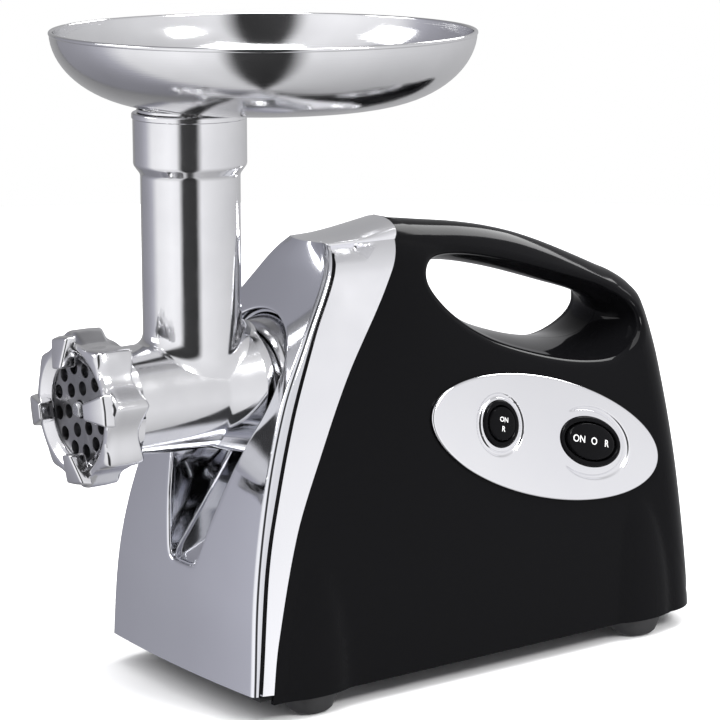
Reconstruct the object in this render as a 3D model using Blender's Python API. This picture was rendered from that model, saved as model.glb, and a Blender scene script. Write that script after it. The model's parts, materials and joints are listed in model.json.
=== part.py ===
"""Electric meat grinder: a motor housing with a carrying handle, a gear train, and a removable grinding head.

Everything is modelled in millimetres, and build() turns it into metres at the end. The throat of the head stands
on x = 0, y = 0 while the parts are modelled; +X is the side with the switches, +Y is the back and the feet rest on
z = 0. One empty then moves the whole assembly so that its origin is the middle of its base.
"""

import math

import bmesh
import bpy
from mathutils import Matrix, Vector

# ---- driving dimensions ----
MM = 0.001
GAP = 0.3  # air left between two pieces that meet
BACK_OF_CENTRE = 105.75  # the middle of the base lies this far behind the throat

HEAD_AXIS_Z = 152.7
PLATE_RADIUS = 27.0  # 54 mm cutting plate
PLATE_HOLE_RADIUS = 3.5
NUT_RADIUS = 38.0
NUT_OPENING_RADIUS = 24.5
NUT_FRONT_Y, NUT_BACK_Y = -68.0, -27.5
LUG_REACH = 9.0
BARREL_BORE = 22.0
THROAT_RADIUS, THROAT_BORE = 24.2, 20.5
COLLAR_RADIUS = 28.0
COLLAR_TOP_Z = 290.7
TRAY_RADIUS, TRAY_CENTRE_Y, TRAY_RIM_Z = 104.5, 43.3, 328.0
TRAY_FLAT_RADIUS, TRAY_THICKNESS = 52.0, 1.8
DRIVE_ACROSS = 10.0  # across the flats of the screw's drive

BODY_BASE_Z = 10.0
BODY_HEIGHT = 232.0
BODY_TOP_Z = 230.0  # where the front cover and the housing meet at the crest
BODY_HALF_WIDTH = 65.5
WALL = 2.5
HOUSING_STEP = 2.0  # the housing stands this much proud of the front cover
REAR_TAPER = 15.0
EDGE_ROUND = 24.0
BAND_BASE_Z = 15.0
LEG_YS = (28.0, 241.0)
LEG_BULGE = 3.6
BASE_Z, BASE_HALF, BASE_FRONT, BASE_BACK = 10.3, 61.0, -3.0, 280.0
SCREW_X = 50.0
SCREW_PLACES = ((60.0, 66.0), (262.0, 64.3))  # y of the screws, and x where each boss meets the wall
AXLE_RADIUS = 3.0
BOLT_X = 31.5

PANEL_CENTRE = (181.2, 114.8)  # y, z of the oval control panel
PANEL_SIZE = (78.5, 30.5)
PANEL_TILT = math.radians(-16)
PANEL_THICKNESS = 1.4
REVERSE_CENTRE = (148.7, 126.2)
ROCKER_CENTRE = (209.0, 108.3)
REVERSE_RADIUS = 12.0
ROCKER_SIZE = (21.5, 13.0)
ROCKER_PIVOT_LIFT = -2.0

RELEASE_CENTRE, RELEASE_RADIUS = (-43.0, 137.0), 5.8  # x, z of the head's release button
GLAND_CENTRE, GLAND_RADIUS = (0.0, 30.0), 5.5  # x, z of the mains inlet
SOCKET_HOLE_RADIUS = 34.6
RECESS_RADIUS, RECESS_TIP_Z, RECESS_TIP_HALF, RECESS_FLOOR_Y = 36.5, 67.0, 11.0, 47.0

# teeth of each pinion and the gear it drives, with their module; the motor turns 50.4 times for one of the screw
STAGES = ((10, 40, 1.0), (10, 36, 1.25), (12, 42, 1.25))
STAGE_ANGLES = (math.radians(85), math.radians(70), math.radians(111))  # from each driving axis to the next
STAGE_Y = ((92.0, 100.0), (80.5, 89.5), (66.0, 77.0))

STEEL = ((0.62, 0.63, 0.65), 0.25, 1.0)
DARK_STEEL = ((0.2, 0.2, 0.21), 0.45, 1.0)
ALUMINIUM = ((0.8, 0.81, 0.83), 0.22, 1.0)
CHROME = ((0.86, 0.87, 0.89), 0.06, 1.0)
COPPER = ((0.72, 0.35, 0.18), 0.35, 1.0)
BRONZE = ((0.55, 0.4, 0.2), 0.4, 1.0)
BLACK_GLOSS = ((0.012, 0.012, 0.014), 0.12, 0.0)
BLACK_SATIN = ((0.02, 0.02, 0.022), 0.42, 0.0)
RUBBER = ((0.015, 0.015, 0.016), 0.75, 0.0)
NYLON = ((0.75, 0.73, 0.66), 0.45, 0.0)
GREY_PLASTIC = ((0.3, 0.31, 0.32), 0.5, 0.0)
CARBON = ((0.05, 0.05, 0.05), 0.7, 0.2)
BOARD_GREEN = ((0.03, 0.16, 0.07), 0.5, 0.0)


# ---- scene and mesh helpers ----
def clear_scene():
    for old in list(bpy.data.objects):
        bpy.data.objects.remove(old, do_unlink=True)


def finish_material(name, look):
    colour, roughness, metallic = look
    material = bpy.data.materials.new(name)
    material.use_nodes = True
    shader = material.node_tree.nodes["Principled BSDF"]
    shader.inputs["Base Color"].default_value = (*colour, 1.0)
    shader.inputs["Roughness"].default_value = roughness
    shader.inputs["Metallic"].default_value = metallic
    return material


def object_from(bm, name, look=None):
    """A new object from a bmesh; without a look it is a cutter or a piece to be joined."""
    bmesh.ops.remove_doubles(bm, verts=bm.verts, dist=1e-4)
    bmesh.ops.recalc_face_normals(bm, faces=bm.faces)
    mesh = bpy.data.meshes.new(name)
    bm.to_mesh(mesh)
    bm.free()
    piece = bpy.data.objects.new(name, mesh)
    bpy.context.scene.collection.objects.link(piece)
    if look:
        mesh.materials.append(finish_material(name, look))
    return piece


def is_closed(mesh):
    uses = {}
    for face in mesh.polygons:
        for key in face.edge_keys:
            uses[key] = uses.get(key, 0) + 1
    return all(count == 2 for count in uses.values())


def combine(target, other, operation):
    """Joins or cuts with a Boolean, and removes the other piece.

    Where small facets meet almost flush, the exact solver can leave open edges, and the manifold one takes over.
    """
    modifier = target.modifiers.new(operation.lower(), "BOOLEAN")
    modifier.operation = operation
    modifier.object = other
    for solver in ("EXACT", "MANIFOLD"):
        modifier.solver = solver
        bpy.context.view_layer.update()
        evaluated = target.evaluated_get(bpy.context.evaluated_depsgraph_get())
        result = bpy.data.meshes.new_from_object(evaluated)
        if is_closed(result):
            break
    target.modifiers.clear()
    target.data = result
    bpy.data.objects.remove(other, do_unlink=True)
    return target


def cut(target, *cutters):
    for cutter in cutters:
        combine(target, cutter, "DIFFERENCE")
    return target


def join(target, *others):
    for other in others:
        combine(target, other, "UNION")
    return target


def transform(piece, matrix):
    piece.data.transform(matrix)
    return piece


def loft(name, rings, look=None, closed=False):
    """Rings of the same number of points, skinned in order; the ends are capped unless the loft closes on itself."""
    bm = bmesh.new()
    rows = [[bm.verts.new(point) for point in ring] for ring in rings]
    count = len(rows[0])
    pairs = list(zip(rows, rows[1:])) + ([(rows[-1], rows[0])] if closed else [])
    for lower, upper in pairs:
        for i in range(count):
            j = (i + 1) % count
            bm.faces.new((lower[i], lower[j], upper[j], upper[i]))
    if not closed:
        bm.faces.new(rows[0])
        bm.faces.new(rows[-1])
    return object_from(bm, name, look)


def along(axis, u, v, w):
    """A point whose w runs along the axis: u, v, w become x, y, z in turn."""
    return {"X": (w, u, v), "Y": (u, w, v), "Z": (u, v, w)}[axis]


def prism(name, outline, axis, start, end, look=None):
    rings = [[along(axis, u, v, w) for u, v in outline] for w in (start, end)]
    return loft(name, rings, look)


def circle(radius, sides, centre=(0.0, 0.0), phase=0.0):
    angles = [phase + 2 * math.pi * k / sides for k in range(sides)]
    return [(centre[0] + radius * math.cos(a), centre[1] + radius * math.sin(a)) for a in angles]


def ellipse(half_u, half_v, sides, centre=(0.0, 0.0), power=2.0):
    def bulge(value):
        return math.copysign(abs(value) ** (2 / power), value)

    angles = [2 * math.pi * k / sides for k in range(sides)]
    return [(centre[0] + half_u * bulge(math.cos(a)), centre[1] + half_v * bulge(math.sin(a))) for a in angles]


def block(name, low, high, look=None):
    outline = [(low[0], low[1]), (high[0], low[1]), (high[0], high[1]), (low[0], high[1])]
    return prism(name, outline, "Z", low[2], high[2], look)


def turned(name, profile, axis, centre, sides, look=None):
    """A closed profile of (radius, height) points turned about an axis; a radius of 0 closes on the axis."""
    bm = bmesh.new()
    rows = []
    for radius, height in profile:
        ring = circle(radius, sides if radius else 1, centre)
        rows.append([bm.verts.new(along(axis, u, v, height)) for u, v in ring])
    for lower, upper in zip(rows, rows[1:] + rows[:1]):
        for i in range(sides):
            j = (i + 1) % sides
            corners = [lower[i % len(lower)], lower[j % len(lower)], upper[j % len(upper)], upper[i % len(upper)]]
            corners = list(dict.fromkeys(corners))
            if len(corners) > 2:
                bm.faces.new(corners)
    return object_from(bm, name, look)


def smooth_step(value):
    value = min(max(value, 0.0), 1.0)
    return value * value * (3 - 2 * value)


def spline(points, value):
    """Catmull-Rom curve through points, read at the given first coordinate, which must rise from point to point."""
    last = len(points) - 2
    k = max(i for i in range(last + 1) if i == 0 or points[i][0] <= value)
    (a, b), (c, d) = points[k], points[k + 1]
    before = points[k - 1] if k else points[k]
    after = points[k + 2] if k < last else points[k + 1]
    slope_in = (d - before[1]) / (c - before[0])
    slope_out = (after[1] - b) / (after[0] - a)
    t = (value - a) / (c - a)
    span = c - a
    return (
        (2 * t**3 - 3 * t**2 + 1) * b
        + (t**3 - 2 * t**2 + t) * span * slope_in
        + (3 * t**2 - 2 * t**3) * d
        + (t**3 - t**2) * span * slope_out
    )


# ---- the body's outer form ----
FRONT_EDGE = ((8, -10.6), (66, -6.4), (112, 4.0), (150, 19.5), (180, 39.0), (208, 59.5), (222, 67.0))  # z, y
BAND_EDGE = ((8, 0.0), (41, 4.3), (90, 18.0), (125, 36.0), (162, 60.0), (198, 91.0), (222, 110.0), (231, 113.5))
GROOVE_EDGE = ((8, -6.5), (67, -0.6), (98, 6.5), (143, 23.6), (181, 45.0), (204, 61.5))  # z, y
TOP_LINE = ((112, 229.6), (130, 227.0), (155, 223.8), (180, 219.2), (204, 212.6), (228, 203.6), (252, 193.3),
            (270, 185.5))  # y, z
SHOULDER = ((277.5, 180.0), (282.0, 171.5))  # y, z where the top line turns down the back
REAR_LINE = ((10, 285.0), (60, 283.0), (130, 283.0), (160, 283.5))  # z, y
BASE_YS = (0, 12, 20, 28, 36, 44, 80, 130, 180, 224, 233, 241, 249, 257, 270, 280, 285)
HEIGHT_STEPS = (0, 0.13, 0.27, 0.42, 0.57, 0.71, 0.83, 0.91, 0.97, 1)
BACK_ZS = (150, 125, 95, 60, 30, 10)
LEAD_POINT = (90.0, 232.0)  # y, z on the top line carried on over the front cover
HANDLE_OPENING = ((122.5, 198), (135, 181.5), (158, 167), (192, 155), (222, 148.5), (246, 148), (262, 156),
                  (264.5, 168), (251, 180), (218, 191.5), (180, 203), (148, 209.5), (128, 208.5))  # y, z
FRONT_TOP = (67.0, 222.0)  # y, z where the front panel meets the top


def half_width(z):
    return BODY_HALF_WIDTH - 48 * (max(z, 0.0) / BODY_HEIGHT) ** 2.4


def housing_width(y, z):
    taper = REAR_TAPER * (max(z, 0.0) / 160) ** 1.5 * smooth_step((y - 90) / 190)
    return half_width(z) + HOUSING_STEP - taper


def leg_bulge(y, z):
    """The pilaster over each foot: widest at the base, a blunt point near z = 76."""
    up = (z - BODY_BASE_Z) / 66
    if up >= 1:
        return 0.0
    reach = 17 * math.sqrt(max(1 - up * up, 0.0))
    nearest = min(abs(y - leg) for leg in LEG_YS)
    across = 1 - (nearest / reach) ** 2 if reach > 0.1 else 0.0
    return LEG_BULGE * math.sqrt(max(across, 0.0)) * (1 - up**3)


def housing_outline(inset=0.0):
    """The top line, its shoulder and the back as (y, z) points, all moved in by the inset."""
    crest = [(y, spline(TOP_LINE, y)) for y in (118, 140, 160, 180, 200, 220, 240, 256, 267)]
    back = [(spline(REAR_LINE, z), z) for z in BACK_ZS]
    points = [LEAD_POINT] + crest + list(SHOULDER) + back
    moved = []
    for k, (y, z) in enumerate(points):
        before, after = points[max(k - 1, 0)], points[min(k + 1, len(points) - 1)]
        run_y, run_z = after[0] - before[0], after[1] - before[1]
        length = math.hypot(run_y, run_z)
        moved.append(Vector((y + inset * run_z / length, z - inset * run_y / length)))
    return moved


def edge_distance(point, outline):
    """How far a point lies inside the outline."""
    best = 1e9
    for a, b in zip(outline, outline[1:]):
        run = b - a
        t = min(max((point - a).dot(run) / run.length_squared, 0), 1)
        best = min(best, (point - a - t * run).length)
    return best


def housing_x(point, outline, inset=0.0):
    """Half width of the housing with its rounded top and back edges."""
    y, z = point
    width = housing_width(y, z) + (0.0 if inset else leg_bulge(y, z)) - inset
    radius = min(EDGE_ROUND, width - GAP / 2)
    depth = min(edge_distance(point, outline) / radius, 1.0)
    return width - radius * (1 - math.sqrt(1 - (1 - depth) ** 2))


def read_path(points, share):
    place = share * (len(points) - 1)
    k = min(int(place), len(points) - 2)
    return points[k].lerp(points[k + 1], place - k)


def housing_patch(inset=0.0, reach=0.0):
    """Rows of (y, z) points that fill the side view between the front cover, the base, the back and the crest."""
    outline = housing_outline(inset)
    bend = len(outline) - len(BACK_ZS) - 1
    crest, back = outline[1:bend + 1], outline[:bend - 1:-1]
    base_z = BODY_BASE_Z - reach

    def front(v):
        z = base_z + v * (BODY_TOP_Z - base_z)
        return Vector((spline(BAND_EDGE, z) + 1.5 * GAP - reach, z))

    crest = [front(1)] + crest
    back[0] = Vector((back[0][0], base_z))
    rows = []
    for v in HEIGHT_STEPS:
        row = []
        for u in (y / BASE_YS[-1] for y in BASE_YS):
            sides = (1 - u) * front(v) + u * read_path(back, v)
            ends = (1 - v) * front(0).lerp(back[0], u) + v * read_path(crest, u)
            corners = (1 - v) * front(0).lerp(back[0], u) + v * front(1).lerp(crest[-1], u)
            row.append(sides + ends - corners)
        rows.append(row)
    return rows, outline


def housing_half(name, side, inset=0.0, reach=0.0):
    """One half of the housing's form, from its outer face to the split at the middle."""
    rows, outline = housing_patch(inset, reach)
    split = -reach if reach else GAP / 2
    bm = bmesh.new()
    skin = [[bm.verts.new((housing_x(p, outline, inset), p[0], p[1])) for p in row] for row in rows]
    for lower, upper in zip(skin, skin[1:]):
        for i in range(len(lower) - 1):
            bm.faces.new((lower[i], lower[i + 1], upper[i + 1], upper[i]))
    rim = skin[0] + [row[-1] for row in skin[1:]] + skin[-1][-2::-1] + [row[0] for row in skin[-2:0:-1]]
    seam = [bm.verts.new((split, *vert.co[1:])) for vert in rim]
    for i in range(len(rim)):
        j = (i + 1) % len(rim)
        bm.faces.new((rim[j], rim[i], seam[i], seam[j]))
    bm.faces.new(seam)
    half = object_from(bm, name)
    if side < 0:
        mirror_x(half)
    return half


def mirror_x(piece):
    piece.data.transform(Matrix.Scale(-1, 4, (1, 0, 0)))
    piece.data.flip_normals()


def closed_curve(points, per_span):
    """A Catmull-Rom loop through points."""
    count = len(points)
    loop = []
    for k in range(count):
        a, b, c, d = (Vector(points[(k + i) % count]) for i in (-1, 0, 1, 2))
        for step in range(per_span):
            t = step / per_span
            loop.append(0.5 * (2 * b + (c - a) * t + (2 * a - 5 * b + 4 * c - d) * t**2
                               + (3 * b - a - 3 * c + d) * t**3))
    return loop


def grown(loop, distance):
    """A counter-clockwise closed loop of 2-D points moved outwards."""
    count = len(loop)
    moved = []
    for k, point in enumerate(loop):
        run = (loop[(k + 1) % count] - loop[k - 1]).normalized()
        moved.append(point + distance * Vector((run[1], -run[0])))
    return moved


def handle_loop(distance=0.0):
    return grown(closed_curve(HANDLE_OPENING, 2), distance)


# ---- the housing ----
def make_housing(name, side):
    """One half shell, with a tunnel for the handle opening and, on the right, holes for the two switches."""
    shell = housing_half(name, side)
    hollow = housing_half("hollow", side, WALL, 6.0)
    cut(hollow, prism("tunnel", handle_loop(WALL), "X", -80, 80))
    cut(shell, hollow, prism("opening", handle_loop(), "X", -80, 80))
    cut(shell, turned("gland_hole", [(0, 270), (GLAND_RADIUS + GAP, 270), (GLAND_RADIUS + GAP, 300), (0, 300)],
                      "Y", GLAND_CENTRE, 16))
    if side > 0:
        cut(shell, placed_prism("reverse_hole", circle(REVERSE_RADIUS + 0.6, 20), -12, 12, REVERSE_CENTRE),
            placed_prism("rocker_hole", ellipse(ROCKER_SIZE[0] + 0.6, ROCKER_SIZE[1] + 0.6, 24), -14, 14,
                         ROCKER_CENTRE))
    shell.data.materials.clear()
    shell.data.materials.append(finish_material(name, BLACK_GLOSS))
    return shell


# ---- the front cover ----
def front_slice(z, inset=0.0, back=0.0):
    """Plan outline of the front cover at one height, from the left back corner round the front to the right."""
    front = spline(FRONT_EDGE, z) + inset
    if z + inset > FRONT_TOP[1]:
        front = FRONT_TOP[0] + (z + inset - FRONT_TOP[1]) * 5.1 + inset
    seam = spline(BAND_EDGE, z)
    rear = max(seam + back, front + 1.0)
    rear_width = housing_x(Vector((seam, z)), housing_outline()) - inset
    width = rear_width - HOUSING_STEP
    corner = min(3.0, 0.3 * width)
    side = [(rear_width, rear), (width + 0.7, min(front + 5, rear - 0.6)), (width - 0.2 * corner, front + 1.6),
            (width - corner, front + 0.3), (width * 0.5, front - 1.4)]
    return [(-x, y) for x, y in side] + [(0.0, front - 2.2)] + side[::-1]


def front_form(name, inset=0.0, back=0.0):
    levels = [BAND_BASE_Z] + [BODY_BASE_Z + v * (BODY_TOP_Z - BODY_BASE_Z) for v in HEIGHT_STEPS[1:]]
    if inset:
        levels = [BAND_BASE_Z - 5] + levels[1:-2] + [FRONT_TOP[1] + 5 - inset]
    return loft(name, [[(x, y, z) for x, y in front_slice(z, inset, back)] for z in levels])


def recess_form(name, grow=0.0):
    """The drop-shaped recess that takes the back of the head: a circle above, closing to a blunt point below."""
    radius = RECESS_RADIUS + grow
    tip_z, tip_half = RECESS_TIP_Z - grow, RECESS_TIP_HALF + grow * 0.7
    drop = HEAD_AXIS_Z - tip_z
    tangent = math.acos(radius / math.hypot(tip_half, drop)) + math.atan2(-drop, tip_half)
    touch_z = HEAD_AXIS_Z + radius * math.sin(tangent)
    touch_half = radius * math.cos(tangent)
    slope_top = tip_z + RECESS_FLOOR_Y - spline(FRONT_EDGE, tip_z)
    rings = []
    levels = [tip_z, 0.5 * (tip_z + slope_top), slope_top, touch_z]
    levels += [HEAD_AXIS_Z + radius * math.sin(tangent + (math.pi / 2 - tangent) * k / 6) for k in range(1, 6)]
    levels += [HEAD_AXIS_Z + radius * 0.9985]
    for z in levels:
        if z <= touch_z:
            half = tip_half + (touch_half - tip_half) * (z - tip_z) / (touch_z - tip_z)
        else:
            half = math.sqrt(radius**2 - (z - HEAD_AXIS_Z) ** 2)
        floor = min(spline(FRONT_EDGE, tip_z) + z - tip_z, RECESS_FLOOR_Y) + grow
        rings.append([(-half, -40, z), (half, -40, z), (half, floor, z), (-half, floor, z)])
    return loft(name, rings)


def groove_form(name, half_gap, depth, proud, side, levels):
    """A ribbon that follows the groove between the front panel and the side band."""
    rings = []
    for z in levels:
        y, x = spline(GROOVE_EDGE, z), half_width(z) + 0.7
        ring = [(x - depth, y - half_gap, z), (x + proud, y - half_gap, z),
                (x + proud + 0.5, y + half_gap, z), (x - depth + 0.5, y + half_gap, z)]
        rings.append([(side * x, y, z) for x, y, z in ring])
    return loft(name, rings)


def make_front_cover():
    cover = front_form("front_cover")
    hollow = front_form("hollow", WALL, 30.0)
    pan = recess_form("pan", WALL)
    cut(hollow, pan)
    cut(cover, hollow, recess_form("recess"))
    hole = turned("hole", [(0, 30), (SOCKET_HOLE_RADIUS, 30), (SOCKET_HOLE_RADIUS, 60), (0, 60)], "Y",
                  (0, HEAD_AXIS_Z), 28)
    cut(cover, hole)
    levels = [8, 66, 112, 150, 180, 201]
    for side in (-1, 1):
        cut(cover, groove_form("groove", 1.3, 1.4, 4.0, side, levels))
    x, z = RELEASE_CENTRE
    cut(cover, turned("release_hole", [(0, -20), (RELEASE_RADIUS + 0.4, -20), (RELEASE_RADIUS + 0.4, 40), (0, 40)],
                      "Y", (x, z), 16))
    cover.data.materials.clear()
    cover.data.materials.append(finish_material("front_cover", CHROME))
    return cover


def make_accent_strips():
    """Black strips that lie in the front cover's two grooves."""
    levels = [19, 66, 112, 150, 180, 199]
    for side, hand in ((1, "right"), (-1, "left")):
        strip = groove_form(f"accent_strip_{hand}", 1.0, 1.0, 0.1, side, levels)
        strip.data.materials.append(finish_material(strip.name, BLACK_GLOSS))


# ---- control panel and switches ----
def surface_frame(centre, lift=0.0):
    """Axes on the housing's right side: the first along the panel's length, the third straight out."""
    y, z = centre
    slope_y = housing_width(y + 0.5, z) - housing_width(y - 0.5, z)
    slope_z = housing_width(y, z + 0.5) - housing_width(y, z - 0.5)
    out = Vector((1, -slope_y, -slope_z)).normalized()
    run = Vector((0, math.cos(PANEL_TILT), math.sin(PANEL_TILT)))
    run = (run - out * run.dot(out)).normalized()
    frame = Matrix((run, out.cross(run), out)).transposed().to_4x4()
    frame.translation = Vector((housing_width(y, z) + lift, y, z))
    return frame


def placed_prism(name, outline, start, end, centre, look=None):
    return transform(prism(name, outline, "Z", start, end, look), surface_frame(centre))


def ring_prism(name, outer, inner, start, end, centre, look=None):
    piece = placed_prism(name, outer, start, end, centre, look)
    return cut(piece, placed_prism("bore", inner, start - 5, end + 5, centre))


def make_control_panel():
    """An oval plate laid on the curve of the housing, crowned and rounded at its edge."""
    sides = 28
    cos_tilt, sin_tilt = math.cos(PANEL_TILT), math.sin(PANEL_TILT)
    back_lift = 2 * GAP
    layers = ((0.6, back_lift), (1.0, back_lift), (0.98, back_lift + PANEL_THICKNESS),
              (0.6, back_lift + PANEL_THICKNESS + 0.8))
    rings = []
    for share, lift in layers:
        ring = []
        for u, v in ellipse(PANEL_SIZE[0] * share, PANEL_SIZE[1] * share, sides):
            y = PANEL_CENTRE[0] + u * cos_tilt - v * sin_tilt
            z = PANEL_CENTRE[1] + u * sin_tilt + v * cos_tilt
            ring.append((housing_width(y, z) + lift, y, z))
        rings.append(ring)
    panel = loft("control_panel", rings, CHROME)
    cut(panel, placed_prism("reverse_hole", circle(REVERSE_RADIUS + 0.4, 20), -8, 12, REVERSE_CENTRE),
        placed_prism("rocker_hole", ellipse(ROCKER_SIZE[0] + 0.4, ROCKER_SIZE[1] + 0.4, 24), -8, 12,
                     ROCKER_CENTRE))
    return panel


def make_switches():
    """Each switch is a bezel in the panel, a cap that moves in it and a body behind with its terminals."""
    half_u, half_v = ROCKER_SIZE
    ring_prism("reverse_bezel", circle(REVERSE_RADIUS, 20), circle(REVERSE_RADIUS - 2.8, 20), -9, 3.6,
               REVERSE_CENTRE, BLACK_GLOSS)
    cap = circle(REVERSE_RADIUS - 3.3, 20)
    rings = [[(u * s, v * s, w) for u, v in cap] for s, w in ((1, -5.5), (1, 4.2), (0.85, 5.0))]
    button = transform(loft("reverse_button", rings, BLACK_SATIN), surface_frame(REVERSE_CENTRE))
    ring_prism("rocker_bezel", ellipse(half_u, half_v, 28), ellipse(half_u - 3.8, half_v - 2.6, 28), -9, 3.6,
               ROCKER_CENTRE, BLACK_GLOSS)
    cap = ellipse(half_u - 4.5, half_v - 3.2, 28)
    rings = [[(u * s, v * s, w) for u, v in cap] for s, w in ((0.97, -5.5), (1, 3.4), (0.93, 5.2))]
    rocker = transform(loft("rocker_cap", rings, BLACK_SATIN), surface_frame(ROCKER_CENTRE))
    set_origin(button, surface_frame(REVERSE_CENTRE).translation)
    set_origin(rocker, surface_frame(ROCKER_CENTRE, ROCKER_PIVOT_LIFT).translation)
    for name, outline, depth, centre in (
        ("reverse_switch", circle(REVERSE_RADIUS - 1.5, 12), -24, REVERSE_CENTRE),
        ("rocker_switch", [(-15, -9), (15, -9), (15, 9), (-15, 9)], -28, ROCKER_CENTRE),
    ):
        body = placed_prism(name, outline, depth, -9.6, centre, BLACK_SATIN)
        for u in (-5, 5):
            tab = [(u - 0.5, -3), (u + 0.5, -3), (u + 0.5, 3), (u - 0.5, 3)]
            join(body, placed_prism("tab", tab, depth - 6, depth + 1, centre))


def make_release_button():
    x, z = RELEASE_CENTRE
    face = spline(FRONT_EDGE, z) - 6.0
    radius = RELEASE_RADIUS
    profile = [(0, face), (radius - 1.2, face), (radius, face + 1.2), (radius, face + 17), (0, face + 17)]
    button = turned("release_button", profile, "Y", (x, z), 16, BLACK_SATIN)
    set_origin(button, Vector((x, face, z)))


# ---- base ----
def boss_outline(side, y, outer):
    inner = SCREW_X - 4.5
    arc = [(inner + 4.5 + 4.5 * math.cos(a), y + 4.5 * math.sin(a)) for a in
           (math.radians(90 + 30 * k) for k in range(7))]
    return [(side * x, v) for x, v in [(outer, y + 4.5)] + arc + [(outer, y - 4.5)]]


def add_screw_bosses(shell, side):
    for y, outer in SCREW_PLACES:
        join(shell, prism("boss", boss_outline(side, y, outer), "Z", 14, 34))
        cut(shell, prism("pilot", circle(2.2, 10, (side * SCREW_X, y)), "Z", 8, 30))


def make_base():
    corner = 18.0
    outline = []
    for cx, cy, start in ((BASE_HALF - corner, BASE_BACK - corner, 0), (corner - BASE_HALF, BASE_BACK - corner, 90)):
        outline += [(cx + corner * math.cos(math.radians(start + 30 * k)),
                     cy + corner * math.sin(math.radians(start + 30 * k))) for k in range(4)]
    outline += [(-BASE_HALF, BASE_FRONT), (BASE_HALF, BASE_FRONT)]
    plate = prism("base_plate", outline, "Z", BASE_Z, BASE_Z + 2.5, BLACK_SATIN)
    for k in range(7):
        y = 118 + 12 * k
        cut(plate, block("vent", (-24, y, 0), (24, y + 5, 30)))
    for side in (-1, 1):
        for y, _ in SCREW_PLACES:
            cut(plate, prism("hole", circle(2.4, 10, (side * SCREW_X, y)), "Z", 0, 30))
    for y, row in ((LEG_YS[0], "front"), (LEG_YS[1], "rear")):
        for side, hand in ((-1, "left"), (1, "right")):
            levels = ((0, 7.5, 8.0), (2.2, 10.5, 11.0), (BASE_Z - GAP, 12.5, 14.5))
            rings = [[(side * u, v, z) for u, v in ellipse(half_x, half_y, 20, (58.0, y), 2.4)]
                     for z, half_x, half_y in levels]
            loft(f"{row}_{hand}_foot", rings, RUBBER)
    for k, (side, y) in enumerate((s, y) for s in (-1, 1) for y, _ in SCREW_PLACES):
        profile = [(0, BASE_Z - 2.6), (3, BASE_Z - 2.6), (3.9, BASE_Z - 1.4), (3.9, BASE_Z - GAP),
                   (1.9, BASE_Z - GAP), (1.9, 26), (0, 27.5)]
        turned(f"base_screw_{k + 1}", profile, "Z", (side * SCREW_X, y), 12, STEEL)


def make_gland():
    radius = GLAND_RADIUS
    profile = [(3.2, 278), (radius, 278), (radius, 285.6), (8.5, 285.6), (8.5, 287.2), (5.4, 288.5), (3.2, 288.5)]
    turned("cord_gland", profile, "Y", GLAND_CENTRE, 16, RUBBER)


# ---- grinding head ----
def make_head():
    barrel = [(0, -64), (30.2, -64), (30.2, -36), (27, -32), (28.6, 6), (32.6, 24), (32.6, 28), (26, 30), (26, 58),
              (0, 58)]
    head = turned("grinder_head", barrel, "Y", (0, HEAD_AXIS_Z), 28, ALUMINIUM)
    throat = [(0, HEAD_AXIS_Z + 4), (THROAT_RADIUS, HEAD_AXIS_Z + 4), (THROAT_RADIUS, COLLAR_TOP_Z - 31),
              (COLLAR_RADIUS, COLLAR_TOP_Z - 27), (COLLAR_RADIUS, COLLAR_TOP_Z - 1), (COLLAR_RADIUS - 1, COLLAR_TOP_Z),
              (0, COLLAR_TOP_Z)]
    join(head, turned("throat", throat, "Z", (0, 0), 28))
    bore = [(0, -70), (27.4, -70), (27.4, -52.5), (BARREL_BORE, -52.5), (BARREL_BORE, 36), (15.2, 36), (15.2, 46),
            (21, 46), (21, 62), (0, 62)]
    feed = [(0, HEAD_AXIS_Z + 3), (THROAT_BORE, HEAD_AXIS_Z + 3), (THROAT_BORE, COLLAR_TOP_Z - 20),
            (25.2, COLLAR_TOP_Z - 20), (25.2, COLLAR_TOP_Z + 5), (0, COLLAR_TOP_Z + 5)]
    cut(head, turned("bore", bore, "Y", (0, HEAD_AXIS_Z), 28), turned("feed", feed, "Z", (0, 0), 24))
    set_origin(head, Vector((0, 0, HEAD_AXIS_Z)))
    bush = [(9.9, 36.3), (14.8, 36.3), (14.8, 45.7), (9.9, 45.7)]
    turned("auger_bush", bush, "Y", (0, HEAD_AXIS_Z), 24, NYLON)


def make_tray():
    """A shallow dish whose side rises in a quarter ellipse, with a spigot that drops into the collar."""
    floor_z = COLLAR_TOP_Z + GAP

    def side(inset):
        reach, rise = TRAY_RADIUS - TRAY_FLAT_RADIUS - inset, TRAY_RIM_Z - floor_z - inset
        return [(TRAY_FLAT_RADIUS + reach * math.sin(a), TRAY_RIM_Z - rise * math.cos(a))
                for a in (math.radians(15 * k) for k in range(7))]

    profile = [(0, floor_z)] + side(0.0) + side(TRAY_THICKNESS)[::-1] + [(0, floor_z + TRAY_THICKNESS)]
    tray = turned("tray", profile, "Z", (0, TRAY_CENTRE_Y), 40, ALUMINIUM)
    spigot = [(21.5, floor_z - 16), (23.2, floor_z - 16), (24.5, floor_z + 0.9), (21.5, floor_z + 0.9)]
    join(tray, turned("spigot", spigot, "Z", (0, 0), 24))
    cut(tray, turned("mouth", [(0, 200), (22, 200), (22, 340), (0, 340)], "Z", (0, 0), 24))
    set_origin(tray, Vector((0, 0, floor_z)))


def nut_outline(sides=48):
    points = []
    for k in range(sides):
        angle = 2 * math.pi * k / sides
        radius = NUT_RADIUS - 1.4 + 1.4 * math.cos(8 * angle)
        points.append((radius * math.cos(angle), HEAD_AXIS_Z + radius * math.sin(angle)))
    return points


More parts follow.
